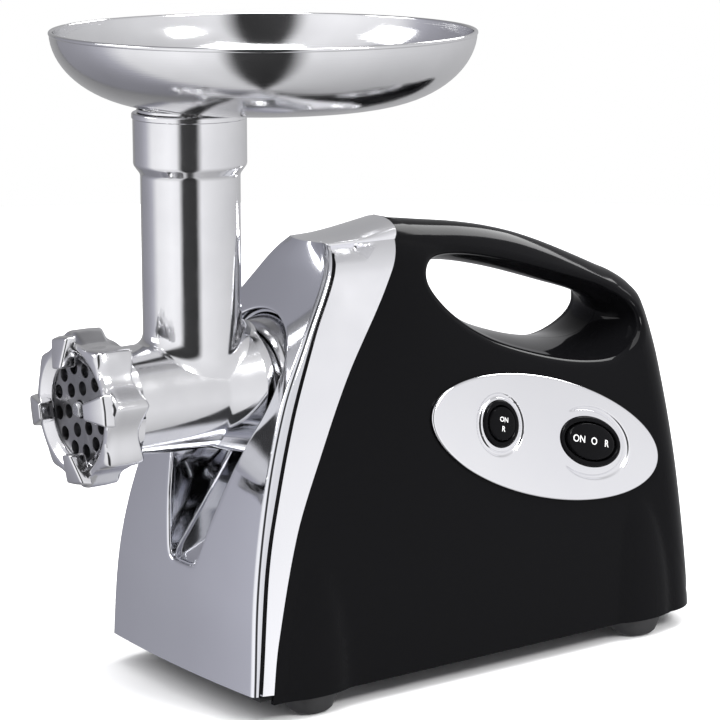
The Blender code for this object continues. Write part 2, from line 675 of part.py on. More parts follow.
def make_nut():
    nut = prism("ring_nut", nut_outline(), "Y", NUT_FRONT_Y, NUT_BACK_Y, ALUMINIUM)
    for angle in (math.radians(a) for a in (10, 100, 190, 280)):
        lug = [(24, -8), (35.5, -8), (35.5, 8), (24, 6)]
        turn = [(u * math.cos(angle) - v * math.sin(angle),
                 HEAD_AXIS_Z + u * math.sin(angle) + v * math.cos(angle)) for u, v in lug]
        join(nut, prism("lug", turn, "Y", NUT_FRONT_Y - LUG_REACH, NUT_FRONT_Y + 1))
    inside = [(0, -90), (NUT_OPENING_RADIUS, -90), (NUT_OPENING_RADIUS, -64.4), (30.6, -64.4), (30.6, -20), (0, -20)]
    cut(nut, turned("inside", inside, "Y", (0, HEAD_AXIS_Z), 28))
    set_origin(nut, Vector((0, NUT_FRONT_Y, HEAD_AXIS_Z)))


def make_plate():
    plate = turned("cutting_plate", [(4.4, -64.1), (PLATE_RADIUS, -64.1), (PLATE_RADIUS, -59.1), (4.4, -59.1)], "Y",
                   (0, HEAD_AXIS_Z), 28, STEEL)
    for count, ring_radius in ((6, 11.0), (12, 20.3)):
        for centre in circle(ring_radius, count, (0, HEAD_AXIS_Z), math.radians(15)):
            cut(plate, prism("hole", circle(PLATE_HOLE_RADIUS, 8, centre), "Y", -70, -50))
    set_origin(plate, Vector((0, -64.1, HEAD_AXIS_Z)))


def make_blade():
    z = HEAD_AXIS_Z
    blade = turned("cutting_blade", [(0, -58.7), (9, -58.7), (10, -51), (0, -51)], "Y", (0, z), 16, STEEL)
    for k in range(4):
        turn = Matrix.Translation((0, 0, z)) @ Matrix.Rotation(k * math.pi / 2, 4, "Y")
        arm = loft("arm", [[(x, -58.7, -4), (x, -58.7, 3), (x, -54, 4), (x, -53, -4)] for x in (0, 22.5)])
        join(blade, transform(arm, turn))
    cut(blade, prism("square", square(4.25), "Y", -70, -40))
    set_origin(blade, Vector((0, 0, z)))


def square(half):
    return [(-half, HEAD_AXIS_Z - half), (half, HEAD_AXIS_Z - half), (half, HEAD_AXIS_Z + half),
            (-half, HEAD_AXIS_Z + half)]


def make_auger():
    z = HEAD_AXIS_Z
    shaft = [(0, -50.6), (9.5, -50.6), (8, -44), (9.5, 20), (12, 32), (12, 35.5), (9.6, 35.5), (9.6, 47), (0, 47)]
    auger = turned("auger", shaft, "Y", (0, z), 16, ALUMINIUM)
    turns, steps, reach = 3.1, 12, 21.2
    rings = []
    for k in range(round(turns * steps) + 1):
        angle = 2 * math.pi * k / steps
        y = -46.5 + 74 * (k / (turns * steps)) ** 0.9
        half = 1.7
        cos_a, sin_a = math.cos(angle), math.sin(angle)
        ring = [(5.0, y - half - 0.8), (reach, y - half), (reach, y + half), (5.0, y + half + 0.8)]
        rings.append([(r * cos_a, w, z + r * sin_a) for r, w in ring])
    join(auger, loft("flight", rings))
    join(auger, prism("square", square(4.0), "Y", -58.4, -48))
    join(auger, turned("pin", [(0, -66.8), (3.2, -66.8), (3.9, -66.1), (3.9, -58), (0, -58)], "Y", (0, z), 16))
    join(auger, prism("hex", circle(DRIVE_ACROSS / math.sqrt(3), 6, (0, z)), "Y", 46, 60.5))
    set_origin(auger, Vector((0, 0, z)))


# ---- gear train ----
def axle_centres():
    """Axes (x, z) of the motor, the first gear, the second gear and the output, worked back from the output."""
    centres = [Vector((0, HEAD_AXIS_Z))]
    for (driver, driven, module), angle in zip(reversed(STAGES), reversed(STAGE_ANGLES)):
        distance = module * (driver + driven) / 2
        centres.insert(0, centres[0] - distance * Vector((math.cos(angle), math.sin(angle))))
    return centres


def gear_outline(teeth, module, centre, phase):
    """Straight-flanked teeth, thinned a little so that they turn together with backlash."""
    pitch_radius = module * teeth / 2
    root, tip = pitch_radius - 1.2 * module, pitch_radius + 0.85 * module
    half_thick = 0.42 * math.pi * module / 2
    slope = math.tan(math.radians(20))
    points = []
    for k in range(teeth):
        middle = phase + 2 * math.pi * k / teeth
        root_half = (half_thick + slope * 1.0 * module) / root
        tip_half = (half_thick - slope * 0.85 * module) / tip
        for radius, offset in ((root, -root_half), (tip, -tip_half), (tip, tip_half), (root, root_half)):
            angle = middle + offset
            points.append((centre[0] + radius * math.cos(angle), centre[1] + radius * math.sin(angle)))
    return points


def mesh_phase(driver_teeth, driver_phase, driven_teeth, angle):
    """Phase that sets a gap of the driven gear on the driver's tooth along the line of centres."""
    share = ((angle - driver_phase) * driver_teeth / (2 * math.pi)) % 1
    return angle + math.pi - (0.5 - share) * 2 * math.pi / driven_teeth


def tooth_phases():
    """Phase of every pinion and gear: each pinion is cut in line with the gear on its own axle."""
    phases = []
    phase = 0.0
    for (driver, driven, _), angle in zip(STAGES, STAGE_ANGLES):
        driven_phase = mesh_phase(driver, phase, driven, angle)
        phases.append((phase, driven_phase))
        phase = driven_phase
    return phases


def toothed(name, teeth, module, centre, phase, span, look=None):
    return prism(name, gear_outline(teeth, module, centre, phase), "Y", span[0], span[1], look)


def make_cluster(name, stage, centre, look):
    """A large gear driven in one stage with the pinion of the next stage on the same hub."""
    (_, driven, module), (driver, _, next_module) = STAGES[stage], STAGES[stage + 1]
    (low, high), (next_low, next_high) = STAGE_Y[stage], STAGE_Y[stage + 1]
    phases = tooth_phases()
    gear = toothed(name, driven, module, centre, phases[stage][1], (low, high), look)
    pinion = toothed("pinion", driver, next_module, centre, phases[stage + 1][0], (next_low, next_high))
    hub_radius = next_module * driver / 2 - 1.3 * next_module
    hub = turned("hub", [(0, next_low + 1), (hub_radius, next_low + 1), (hub_radius, high - 1), (0, high - 1)], "Y",
                 centre, 16)
    join(gear, hub, pinion)
    cut(gear, prism("bore", circle(AXLE_RADIUS + 0.25, 16, centre), "Y", 0, 150))
    set_origin(gear, Vector((centre[0], 0, centre[1])))


def make_output_gear(centre):
    driver, driven, module = STAGES[2]
    low, high = STAGE_Y[2]
    gear = toothed("output_gear", driven, module, centre, tooth_phases()[2][1], (low, high), STEEL)
    hub = [(0, 50.2), (12, 50.2), (12, 67), (12, high + 1), (5, high + 1), (5, 103), (0, 103)]
    join(gear, turned("hub", hub, "Y", centre, 24))
    cut(gear, prism("socket", circle(DRIVE_ACROSS / math.sqrt(3) + 0.6, 6, centre), "Y", 40, 62))
    set_origin(gear, Vector((centre[0], 0, centre[1])))
    bush = [(12.35, 51), (15.0, 51), (15.0, 61.5), (12.35, 61.5)]
    turned("output_bush", bush, "Y", centre, 24, BRONZE)


def hull(points):
    """Counter-clockwise convex hull."""
    points = sorted(set((round(x, 6), round(y, 6)) for x, y in points))

    def chain(source):
        found = []
        for p in source:
            while len(found) > 1 and ((found[-1][0] - found[-2][0]) * (p[1] - found[-2][1])
                                      - (found[-1][1] - found[-2][1]) * (p[0] - found[-2][0])) <= 0:
                found.pop()
            found.append(p)
        return found[:-1]

    return chain(points) + chain(points[::-1])


def case_outline(centres, inset=0.0):
    rounds = zip(centres, (12.0, 25.5, 28.5, 31.5))
    return hull([p for centre, radius in rounds for p in circle(radius - inset, 20, centre)])


def make_gearbox(centres):
    motor, first, second, output = centres
    case = prism("gearbox_case", case_outline(centres), "Y", 62.5, 104, DARK_STEEL)
    cut(case, prism("room", case_outline(centres, WALL), "Y", 50, 101.3))
    cover = prism("gearbox_cover", case_outline(centres), "Y", 59.5, 62.2, DARK_STEEL)
    boss = [(10, 50), (18.5, 50), (18.5, 61), (10, 61)]
    join(cover, turned("boss", boss, "Y", output, 24))
    cut(cover, turned("bush_seat", [(0, 40), (15.3, 40), (15.3, 70), (0, 70)], "Y", output, 24))
    cut(case, prism("shaft_hole", circle(7.5, 16, motor), "Y", 95, 110),
        prism("stub_hole", circle(5.4, 16, output), "Y", 95, 110))
    for name, centre in (("first_axle", first), ("second_axle", second)):
        turned(name, [(0, 60), (AXLE_RADIUS, 60), (AXLE_RADIUS, 103.5), (0, 103.5)], "Y", centre, 16, STEEL)
        cut(case, prism("seat", circle(AXLE_RADIUS + 0.2, 16, centre), "Y", 95, 110))
        cut(cover, prism("seat", circle(AXLE_RADIUS + 0.2, 16, centre), "Y", 50, 70))
    collar = [(26.6, 36), (28.2, 34), (31.8, 37.5), (33.9, 46), (33.9, 59.2), (26.6, 59.2)]
    turned("socket_collar", collar, "Y", output, 28, CHROME)


# ---- motor ----
def sector(inner, outer, start, end, centre, steps=6):
    angles = [math.radians(start + (end - start) * k / steps) for k in range(steps + 1)]
    arc = [(outer, a) for a in angles] + [(inner, a) for a in reversed(angles)]
    return [(centre[0] + r * math.cos(a), centre[1] + r * math.sin(a)) for r, a in arc]


def make_rotor(centre):
    x, z = centre
    driver, _, module = STAGES[0]
    low, high = STAGE_Y[0]
    shaft = turned("rotor_shaft", [(0, 99), (3.4, 99), (3.4, 101), (3.9, 102), (3.9, 192), (0, 192)], "Y", centre, 16,
                   STEEL)
    join(shaft, toothed("pinion", driver, module, centre, 0.0, (low + 0.4, high)))
    core = prism("rotor_core", gear_outline(12, 3.2, centre, 0), "Y", 128, 160, DARK_STEEL)
    cut(core, prism("bore", circle(4.2, 16, centre), "Y", 100, 200))
    turned("commutator", [(4.2, 168), (12, 168), (12, 180), (9, 181.5), (4.2, 181.5)], "Y", centre, 24, COPPER)
    blades = []
    for k in range(9):
        start = 2 * math.pi * k / 9
        for radius, turn in ((8.5, 0.0), (28, 0.32), (28.5, 0.44), (9, 0.3)):
            blades.append((x + radius * math.cos(start + turn), z + radius * math.sin(start + turn)))
    fan = prism("cooling_fan", blades, "Y", 114.5, 122, NYLON)
    cut(fan, prism("bore", circle(4.2, 16, centre), "Y", 100, 200))
    for name in ("rotor_shaft", "rotor_core", "commutator", "cooling_fan"):
        set_origin(bpy.data.objects[name], Vector((x, 0, z)))


def make_stator(centre):
    x, z = centre
    stator = prism("stator_core", ellipse(38, 34, 32, centre, 4.0), "Y", 128, 160, DARK_STEEL)
    cut(stator, prism("bore", circle(22.6, 32, centre), "Y", 100, 200))
    for name, start, end in (("field_coil_upper", 40, 140), ("field_coil_lower", 220, 320)):
        cut(stator, prism("slot", sector(21, 29.5, start - 3, end + 3, centre), "Y", 100, 200))
        prism(name, sector(23.4, 29, start, end, centre), "Y", 124.5, 164, COPPER)
    for name, (low, high) in (("motor_front_bracket", (104.4, 107.4)), ("motor_rear_bracket", (183.5, 186.5))):
        bracket = prism(name, ellipse(36, 22, 24, centre, 4.0), "Y", low, high, ALUMINIUM)
        boss = [(5, low + 0.5), (12.5, low + 0.5), (12.5, high + 4), (5, high + 4)]
        join(bracket, turned("boss", boss, "Y", centre, 20))
        cut(bracket, prism("seat", circle(9.9, 20, centre), "Y", low - 5, high + 9))
        for side in (-1, 1):
            cut(bracket, prism("bolt_hole", circle(2.3, 10, (x + side * BOLT_X, z)), "Y", low - 5, high + 5))
    for name, low in (("front_bearing", 104.6), ("rear_bearing", 183.7)):
        turned(name, [(4.2, low), (9.6, low), (9.6, low + 6), (4.2, low + 6)], "Y", centre, 20, STEEL)
    for side, hand in ((-1, "left"), (1, "right")):
        bolt = [(0, 104.8), (2, 104.8), (2, 186.8), (3.8, 186.8), (3.8, 189.3), (0, 189.3)]
        turned(f"motor_bolt_{hand}", bolt, "Y", (x + side * BOLT_X, z), 10, STEEL)
        cut(stator, prism("bolt_hole", circle(2.3, 10, (x + side * BOLT_X, z)), "Y", 100, 200))
        near, far = sorted((x + side * 14, x + side * 27))
        holder = block(f"brush_holder_{hand}", (near, 168.5, z - 6), (far, 183.2, z + 6), BRONZE)
        cut(holder, block("channel", (near - 5, 170.2, z - 3.3), (far + 5, 178.4, z + 3.3)))
        near, far = sorted((x + side * 12.3, x + side * 25))
        block(f"carbon_brush_{hand}", (near, 170.5, z - 3), (far, 178.1, z + 3), CARBON)


def make_electrics():
    board = block("circuit_board", (-36, 206, 22), (36, 262, 23.6), BOARD_GREEN)
    for u in (-22, 0, 22):
        join(board, block("component", (u - 5, 232, 23), (u + 5, 244, 33)))
    block("capacitor", (-14, 210, 24.2), (14, 222, 44), GREY_PLASTIC)


# ---- assembly ----
def set_origin(piece, point):
    """Puts a piece's origin on its joint without moving the piece."""
    piece.data.transform(Matrix.Translation(-Vector(point)))
    piece.location = point


def shade(piece):
    piece.data.shade_smooth()
    piece.data.set_sharp_from_angle(angle=math.radians(32))


def build():
    clear_scene()
    for name, side in (("right_housing", 1), ("left_housing", -1)):
        add_screw_bosses(make_housing(name, side), side)
    make_front_cover()
    make_accent_strips()
    make_control_panel()
    make_switches()
    make_release_button()
    make_base()
    make_gland()
    centres = axle_centres()
    make_gearbox(centres)
    make_cluster("first_gear", 0, centres[1], NYLON)
    make_cluster("second_gear", 1, centres[2], STEEL)
    make_output_gear(centres[3])
    make_rotor(centres[0])
    make_stator(centres[0])
    make_electrics()
    make_head()
    make_auger()
    make_blade()
    make_plate()
    make_nut()
    make_tray()
    middle = bpy.data.objects.new("assembly", None)
    bpy.context.scene.collection.objects.link(middle)
    middle.location = (0, -BACK_OF_CENTRE * MM, 0)
    for piece in bpy.data.objects:
        if piece.type == "MESH":
            piece.data.transform(Matrix.Scale(MM, 4))
            piece.location *= MM
            shade(piece)
            piece.parent = middle


build()
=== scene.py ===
import json
import math

import bpy
import numpy as np
from mathutils import Matrix, Vector


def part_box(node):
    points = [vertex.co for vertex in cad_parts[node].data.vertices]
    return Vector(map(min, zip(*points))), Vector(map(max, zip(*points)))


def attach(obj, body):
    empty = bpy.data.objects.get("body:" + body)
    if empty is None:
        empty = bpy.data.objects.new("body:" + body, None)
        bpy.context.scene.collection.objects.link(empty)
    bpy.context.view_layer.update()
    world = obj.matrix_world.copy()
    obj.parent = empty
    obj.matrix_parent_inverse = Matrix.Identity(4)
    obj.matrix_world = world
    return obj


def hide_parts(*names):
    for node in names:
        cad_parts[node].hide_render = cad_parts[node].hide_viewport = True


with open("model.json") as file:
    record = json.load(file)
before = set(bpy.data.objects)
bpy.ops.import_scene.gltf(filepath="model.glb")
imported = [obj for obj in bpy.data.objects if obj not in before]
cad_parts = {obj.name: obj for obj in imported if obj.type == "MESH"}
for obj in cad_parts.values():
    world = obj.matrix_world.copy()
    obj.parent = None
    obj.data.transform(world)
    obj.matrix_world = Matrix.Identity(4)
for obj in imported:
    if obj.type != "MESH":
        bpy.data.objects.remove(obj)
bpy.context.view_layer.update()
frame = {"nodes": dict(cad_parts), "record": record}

plateToThroat = 0.0641
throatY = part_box("cutting_plate")[0].y + plateToThroat  # the feed throat's axis; pieces are drawn in mm about it
headZ = 152.7  # height of the grinding screw
print("frame loaded, throat at y", round(throatY, 5))


# drawing helpers; all of them work in millimetres
def pick(piece):
    bpy.ops.object.select_all(action="DESELECT")
    piece.select_set(True)
    bpy.context.view_layer.objects.active = piece


def editing(piece):
    pick(piece)
    bpy.ops.object.mode_set(mode="EDIT")
    bpy.ops.mesh.select_all(action="SELECT")


def doneEditing():
    bpy.ops.object.mode_set(mode="OBJECT")


def newest(name):
    piece = bpy.context.object
    piece.name = name
    piece.data.name = name
    return piece


def weld(piece, distance=0.004):
    editing(piece)
    bpy.ops.mesh.remove_doubles(threshold=distance)
    bpy.ops.mesh.normals_make_consistent(inside=False)
    doneEditing()
    return piece


def rounded(corners, steps=5):
    # a closed profile whose corners (u, v, radius) are rounded off
    points = []
    for k, corner in enumerate(corners):
        here = np.array(corner[:2], float)
        radius = corner[2] if len(corner) > 2 else 0
        if not radius:
            points.append(tuple(here))
            continue
        last = np.array(corners[k - 1][:2], float) - here
        following = np.array(corners[(k + 1) % len(corners)][:2], float) - here
        lastRun, nextRun = np.linalg.norm(last), np.linalg.norm(following)
        last, following = last / lastRun, following / nextRun
        half = math.acos(max(-1, min(1, float(last @ following)))) / 2
        reach = min(radius / math.tan(half), 0.49 * lastRun, 0.49 * nextRun)
        for step in range(steps + 1):
            t = step / steps
            points.append(tuple(here + last * reach * (1 - t) ** 2 + following * reach * t ** 2))
    return points


def turned(name, profile, axis="Z", centre=(0, 0), steps=96):
    # a profile of (radius, height) drawn point by point and spun about its axis
    spots = [(centre[0] + r, h, centre[1]) if axis == "Y" else (centre[0] + r, centre[1], h) for r, h in profile]
    bpy.ops.object.select_all(action="DESELECT")
    bpy.ops.mesh.primitive_plane_add(size=1, location=(0, 0, 0))
    piece = newest(name)
    editing(piece)
    bpy.ops.mesh.merge(type="CENTER")
    bpy.ops.transform.translate(value=spots[0])
    for start, end in zip(spots, spots[1:] + spots[:1]):
        step = tuple(b - a for a, b in zip(start, end))
        bpy.ops.mesh.extrude_region_move(TRANSFORM_OT_translate={"value": step})
    bpy.ops.mesh.select_all(action="SELECT")
    middle = (centre[0], 0, centre[1]) if axis == "Y" else (centre[0], centre[1], 0)
    bpy.ops.mesh.spin(steps=steps, angle=2 * math.pi, center=middle, axis=(0, 1, 0) if axis == "Y" else (0, 0, 1))
    doneEditing()
    return weld(piece)


def formSheet(name, points):
    # a grid laid on a table of points, rows by columns; coincident edges are merged
    rows, columns = points.shape[0] - 1, points.shape[1] - 1
    bpy.ops.object.select_all(action="DESELECT")
    bpy.ops.mesh.primitive_grid_add(x_subdivisions=columns, y_subdivisions=rows, size=1, location=(0, 0, 0))
    piece = newest(name)
    flat = np.zeros(len(piece.data.vertices) * 3, np.float32)
    piece.data.vertices.foreach_get("co", flat)
    flat = flat.reshape(-1, 3)
    column = np.rint((flat[:, 0] + 0.5) * columns).astype(int)
    row = np.rint((flat[:, 1] + 0.5) * rows).astype(int)
    piece.data.vertices.foreach_set("co", points[row, column].astype(np.float32).ravel())
    piece.data.update()
    return weld(piece)


def rimsFilled(piece):
    editing(piece)
    bpy.ops.mesh.select_all(action="DESELECT")
    bpy.ops.mesh.select_non_manifold()
    bpy.ops.mesh.fill_holes(sides=0)
    bpy.ops.mesh.select_all(action="SELECT")
    bpy.ops.mesh.normals_make_consistent(inside=False)
    doneEditing()
    return piece


def applied(piece, kind, **values):
    pick(piece)
    modifier = piece.modifiers.new(kind.lower(), kind)
    for name, value in values.items():
        setattr(modifier, name, value)
    bpy.ops.object.modifier_apply(modifier=modifier.name)
    return piece


def thickened(piece, thickness, inward=-1):
    applied(piece, "SOLIDIFY", thickness=thickness, offset=inward, use_even_offset=False)
    return weld(piece)


def cutAway(piece, *cutters):
    for cutter in cutters:
        applied(piece, "BOOLEAN", operation="DIFFERENCE", object=cutter, solver="EXACT")
        bpy.data.objects.remove(cutter, do_unlink=True)
    return piece


def merged(piece, *others):
    pick(piece)
    for other in others:
        other.select_set(True)
    bpy.ops.object.join()
    return piece


def softened(piece, width, segments=3, angle=30):
    return applied(piece, "BEVEL", width=width, segments=segments, limit_method="ANGLE",
                   angle_limit=math.radians(angle), harden_normals=False)


def prism(name, outline, depth, matrix=Matrix.Identity(4), steps=1):
    # an outline filled and pulled up by its depth, then placed
    bpy.ops.object.select_all(action="DESELECT")
    bpy.ops.mesh.primitive_circle_add(vertices=len(outline), radius=1, fill_type="NGON", location=(0, 0, 0))
    piece = newest(name)
    for vertex, (u, v) in zip(piece.data.vertices, outline):
        vertex.co = (u, v, 0)
    editing(piece)
    bpy.ops.mesh.extrude_region_move(TRANSFORM_OT_translate={"value": (0, 0, depth)})
    bpy.ops.mesh.select_all(action="SELECT")
    bpy.ops.mesh.normals_make_consistent(inside=False)
    doneEditing()
    piece.data.transform(matrix)
    return piece


def settle(piece, material, body, slot, *nodes, angle=38):
    # into metres about the model's own origin, then finish, body and the CAD nodes it stands for
    pick(piece)
    piece.data.transform(Matrix.Translation((0, throatY, 0)) @ Matrix.Scale(0.001, 4))
    piece.data.materials.clear()
    piece.data.materials.append(material)
    bpy.ops.object.shade_smooth_by_angle(angle=math.radians(angle))
    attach(piece, body)
    if nodes:
        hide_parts(*nodes)
    return piece


def readCurve(points, value):
    # smooth curve through points, read at any first coordinate
    x, y = np.array(points, float).T
    slope = np.empty_like(y)
    slope[1:-1] = (y[2:] - y[:-2]) / (x[2:] - x[:-2])
    slope[0], slope[-1] = (y[1] - y[0]) / (x[1] - x[0]), (y[-1] - y[-2]) / (x[-1] - x[-2])
    value = np.asarray(value, float)
    k = np.clip(np.searchsorted(x, value, side="right") - 1, 0, len(x) - 2)
    span = x[k + 1] - x[k]
    t = (value - x[k]) / span
    return ((2 * t**3 - 3 * t**2 + 1) * y[k] + (t**3 - 2 * t**2 + t) * span * slope[k]
            + (3 * t**2 - 2 * t**3) * y[k + 1] + (t**3 - t**2) * span * slope[k + 1])


def smoothLine(points, perSpan=12, closed=False):
    points = np.array(points, float)
    count = len(points)
    line = []
    for k in range(count if closed else count - 1):
        around = [points[(k + i) % count] if closed else points[min(max(k + i, 0), count - 1)] for i in (-1, 0, 1, 2)]
        a, b, c, d = around
        for step in range(perSpan):
            t = step / perSpan
            line.append(0.5 * (2 * b + (c - a) * t + (2 * a - 5 * b + 4 * c - d) * t**2
                               + (3 * b - a - 3 * c + d) * t**3))
    if not closed:
        line.append(points[-1])
    return np.array(line)


def onRays(loop, centre, angles):
    # where rays from a centre meet a closed loop round it
    offset = loop - np.array(centre)
    bearing = np.arctan2(offset[:, 1], offset[:, 0])
    order = np.argsort(bearing)
    bearing, ordered = bearing[order], loop[order]
    bearing = np.concatenate([bearing[-1:] - 2 * np.pi, bearing, bearing[:1] + 2 * np.pi])
    ordered = np.concatenate([ordered[-1:], ordered, ordered[:1]])
    return np.stack([np.interp(angles, bearing, ordered[:, i]) for i in (0, 1)], -1)


def smoothStep(value):
    value = np.clip(value, 0, 1)
    return value * value * (3 - 2 * value)


# finishes
def startGroup(name, values, result):
    # a group that takes a vector and some plain values, and gives one value
    group = bpy.data.node_groups.new(name, "ShaderNodeTree")
    group.interface.new_socket("Vector", in_out="INPUT", socket_type="NodeSocketVector")
    for label, value in values.items():
        group.interface.new_socket(label, in_out="INPUT", socket_type="NodeSocketFloat").default_value = value
    group.interface.new_socket(result, in_out="OUTPUT", socket_type="NodeSocketFloat")
    return group, group.nodes.new("NodeGroupInput"), group.nodes.new("NodeGroupOutput")


def node(tree, kind, values=None, **settings):
    made = tree.nodes.new(kind)
    for name, value in settings.items():
        setattr(made, name, value)
    for name, value in (values or {}).items():
        made.inputs[name].default_value = value
    return made


def wire(tree, *links):
    # each link is a node, its output, another node and its input
    for source, output, target, socket in links:
        tree.links.new(source.outputs[output], target.inputs[socket])


def driftGroup():
    # slow or fine variation of a value between two ends
    group, given, out = startGroup("valueDrift", {"Scale": 40.0, "Low": 0.1, "High": 0.2}, "Value")
    noise = node(group, "ShaderNodeTexNoise", {"Detail": 3.0, "Roughness": 0.6})
    spread = node(group, "ShaderNodeMapRange", {"From Min": 0.3, "From Max": 0.7})
    wire(group, (given, "Vector", noise, "Vector"), (given, "Scale", noise, "Scale"), (noise, "Fac", spread, "Value"),
         (given, "Low", spread, "To Min"), (given, "High", spread, "To Max"), (spread, "Result", out, "Value"))
    return group


def ringGroup():
    # fine rings about the Z axis of the given coordinates, as a lathe or polishing wheel leaves
    group, given, out = startGroup("turningRings", {"Rings": 900.0, "Amount": 1.0}, "Height")
    parts = node(group, "ShaderNodeSeparateXYZ")
    flat = node(group, "ShaderNodeCombineXYZ")
    length = node(group, "ShaderNodeVectorMath", operation="LENGTH")
    spacing = node(group, "ShaderNodeMath", operation="MULTIPLY")
    along = node(group, "ShaderNodeMath", operation="MULTIPLY_ADD")
    noise = node(group, "ShaderNodeTexNoise", {"Scale": 1.0, "Detail": 2.0}, noise_dimensions="1D")
    amount = node(group, "ShaderNodeMath", operation="MULTIPLY")
    wire(group, (given, "Vector", parts, 0), (parts, "X", flat, "X"), (parts, "Y", flat, "Y"), (flat, 0, length, 0),
         (length, "Value", spacing, 0), (given, "Rings", spacing, 1), (parts, "Z", along, 0),
         (given, "Rings", along, 1), (spacing, 0, along, 2), (along, 0, noise, "W"), (noise, "Fac", amount, 0),
         (given, "Amount", amount, 1), (amount, 0, out, "Height"))
    return group


def grainGroup():
    # moulded or cast skin: fine grain on a slow wave
    group, given, out = startGroup("mouldedSkin", {"Grain": 900.0, "Wave": 40.0, "Share": 0.3}, "Height")
    fine = node(group, "ShaderNodeTexNoise", {"Detail": 2.0})
    slow = node(group, "ShaderNodeTexNoise", {"Detail": 1.0})
    mix = node(group, "ShaderNodeMix")
    wire(group, (given, "Vector", fine, "Vector"), (given, "Vector", slow, "Vector"), (given, "Grain", fine, "Scale"),
         (given, "Wave", slow, "Scale"), (given, "Share", mix, 0), (slow, "Fac", mix, 2), (fine, "Fac", mix, 3),
         (mix, 0, out, "Height"))
    return group


drift, rings, grain = driftGroup(), ringGroup(), grainGroup()


def makeFinish(name, colour, metallic=0.0, rough=(0.1, 0.2), roughScale=40.0, tint=None, tintScale=30.0,
               skin=None, lathe=None, centre=(0, 0, 0), turn=(0, 0, 0), bump=0.1, bumpDepth=0.0001, fixed=None):
    # one finish: base colour, roughness that drifts, and a bump of moulded skin or lathe rings
    material = bpy.data.materials.new(name)
    material.use_nodes = True
    tree = material.node_tree
    shader = tree.nodes["Principled BSDF"]
    shader.inputs["Base Color"].default_value = (*colour, 1)
    shader.inputs["Metallic"].default_value = metallic
    for socket, value in (fixed or {}).items():
        shader.inputs[socket].default_value = value
    where = node(tree, "ShaderNodeTexCoord")
    place = node(tree, "ShaderNodeMapping", {"Location": centre, "Rotation": turn}, vector_type="TEXTURE")
    wire(tree, (where, "Object", place, "Vector"))
    roughness = node(tree, "ShaderNodeGroup", node_tree=drift)
    roughness.inputs["Scale"].default_value = roughScale
    roughness.inputs["Low"].default_value, roughness.inputs["High"].default_value = rough
    wire(tree, (place, 0, roughness, "Vector"), (roughness, 0, shader, "Roughness"))
    if tint:
        toning = node(tree, "ShaderNodeGroup", node_tree=drift)
        toning.inputs["Scale"].default_value = tintScale
        toning.inputs["Low"].default_value, toning.inputs["High"].default_value = 0.0, 1.0
        colours = node(tree, "ShaderNodeMix", data_type="RGBA")
        colours.inputs[6].default_value = (*colour, 1)
        colours.inputs[7].default_value = (*tint, 1)
        wire(tree, (place, 0, toning, "Vector"), (toning, 0, colours, 0), (colours, 2, shader, "Base Color"))
    if skin or lathe:
        relief = node(tree, "ShaderNodeGroup", node_tree=grain if skin else rings)
        for socket, value in (skin or lathe).items():
            relief.inputs[socket].default_value = value
        raised = node(tree, "ShaderNodeBump", {"Strength": bump, "Distance": bumpDepth})
        wire(tree, (place, 0, relief, "Vector"), (relief, 0, raised, "Height"), (raised, 0, shader, "Normal"))
    return material


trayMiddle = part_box("tray")
trayCentre = ((trayMiddle[0] + trayMiddle[1]) / 2).to_tuple()
blackGloss = makeFinish("blackGloss", (0.0035, 0.0035, 0.004), rough=(0.05, 0.09), roughScale=25,
                        skin={"Grain": 300.0, "Wave": 22.0, "Share": 0.04}, bump=0.06, bumpDepth=0.0008,
                        fixed={"Specular IOR Level": 0.06})
blackSatin = makeFinish("blackSatin", (0.010, 0.010, 0.011), rough=(0.32, 0.42), roughScale=60,
                        skin={"Grain": 1400.0, "Wave": 60.0, "Share": 0.7}, bump=0.12,
                        fixed={"Specular IOR Level": 0.35})
chromePlastic = makeFinish("chromePlastic", (0.80, 0.81, 0.84), 1.0, (0.055, 0.10), 30, (0.76, 0.765, 0.80), 12,
                           skin={"Grain": 500.0, "Wave": 18.0, "Share": 0.03}, bump=0.05, bumpDepth=0.0006)
panelChrome = makeFinish("panelChrome", (0.97, 0.97, 0.985), 1.0, (0.08, 0.12), 40, (0.93, 0.93, 0.955), 14,
                         skin={"Grain": 700.0, "Wave": 20.0, "Share": 0.05}, bump=0.05, bumpDepth=0.0005)
castPolish = makeFinish("castPolish", (0.80, 0.80, 0.81), 1.0, (0.08, 0.15), 70, (0.72, 0.72, 0.735), 26,
                        skin={"Grain": 420.0, "Wave": 55.0, "Share": 0.12}, bump=0.10, bumpDepth=0.0006)
spunPolish = makeFinish("spunPolish", (0.82, 0.82, 0.83), 1.0, (0.07, 0.13), 50, (0.75, 0.75, 0.76), 20,
                        lathe={"Rings": 1500.0, "Amount": 1.0}, centre=trayCentre, bump=0.08, bumpDepth=0.0003)
plateSteel = makeFinish("plateSteel", (0.36, 0.36, 0.37), 1.0, (0.24, 0.36), 90, (0.24, 0.24, 0.25), 60,
                        lathe={"Rings": 2600.0, "Amount": 1.0}, centre=(0, throatY, headZ / 1000),
                        turn=(math.pi / 2, 0, 0), bump=0.2, bumpDepth=0.0002)
turnedSteel = makeFinish("turnedSteel", (0.55, 0.555, 0.57), 1.0, (0.18, 0.3), 120, (0.44, 0.445, 0.46), 60,
                         skin={"Grain": 1500.0, "Wave": 200.0, "Share": 0.6}, bump=0.12)
darkSteel = makeFinish("darkSteel", (0.10, 0.10, 0.105), 1.0, (0.38, 0.52), 90, (0.06, 0.06, 0.065), 50,
                       skin={"Grain": 900.0, "Wave": 120.0, "Share": 0.6}, bump=0.2)
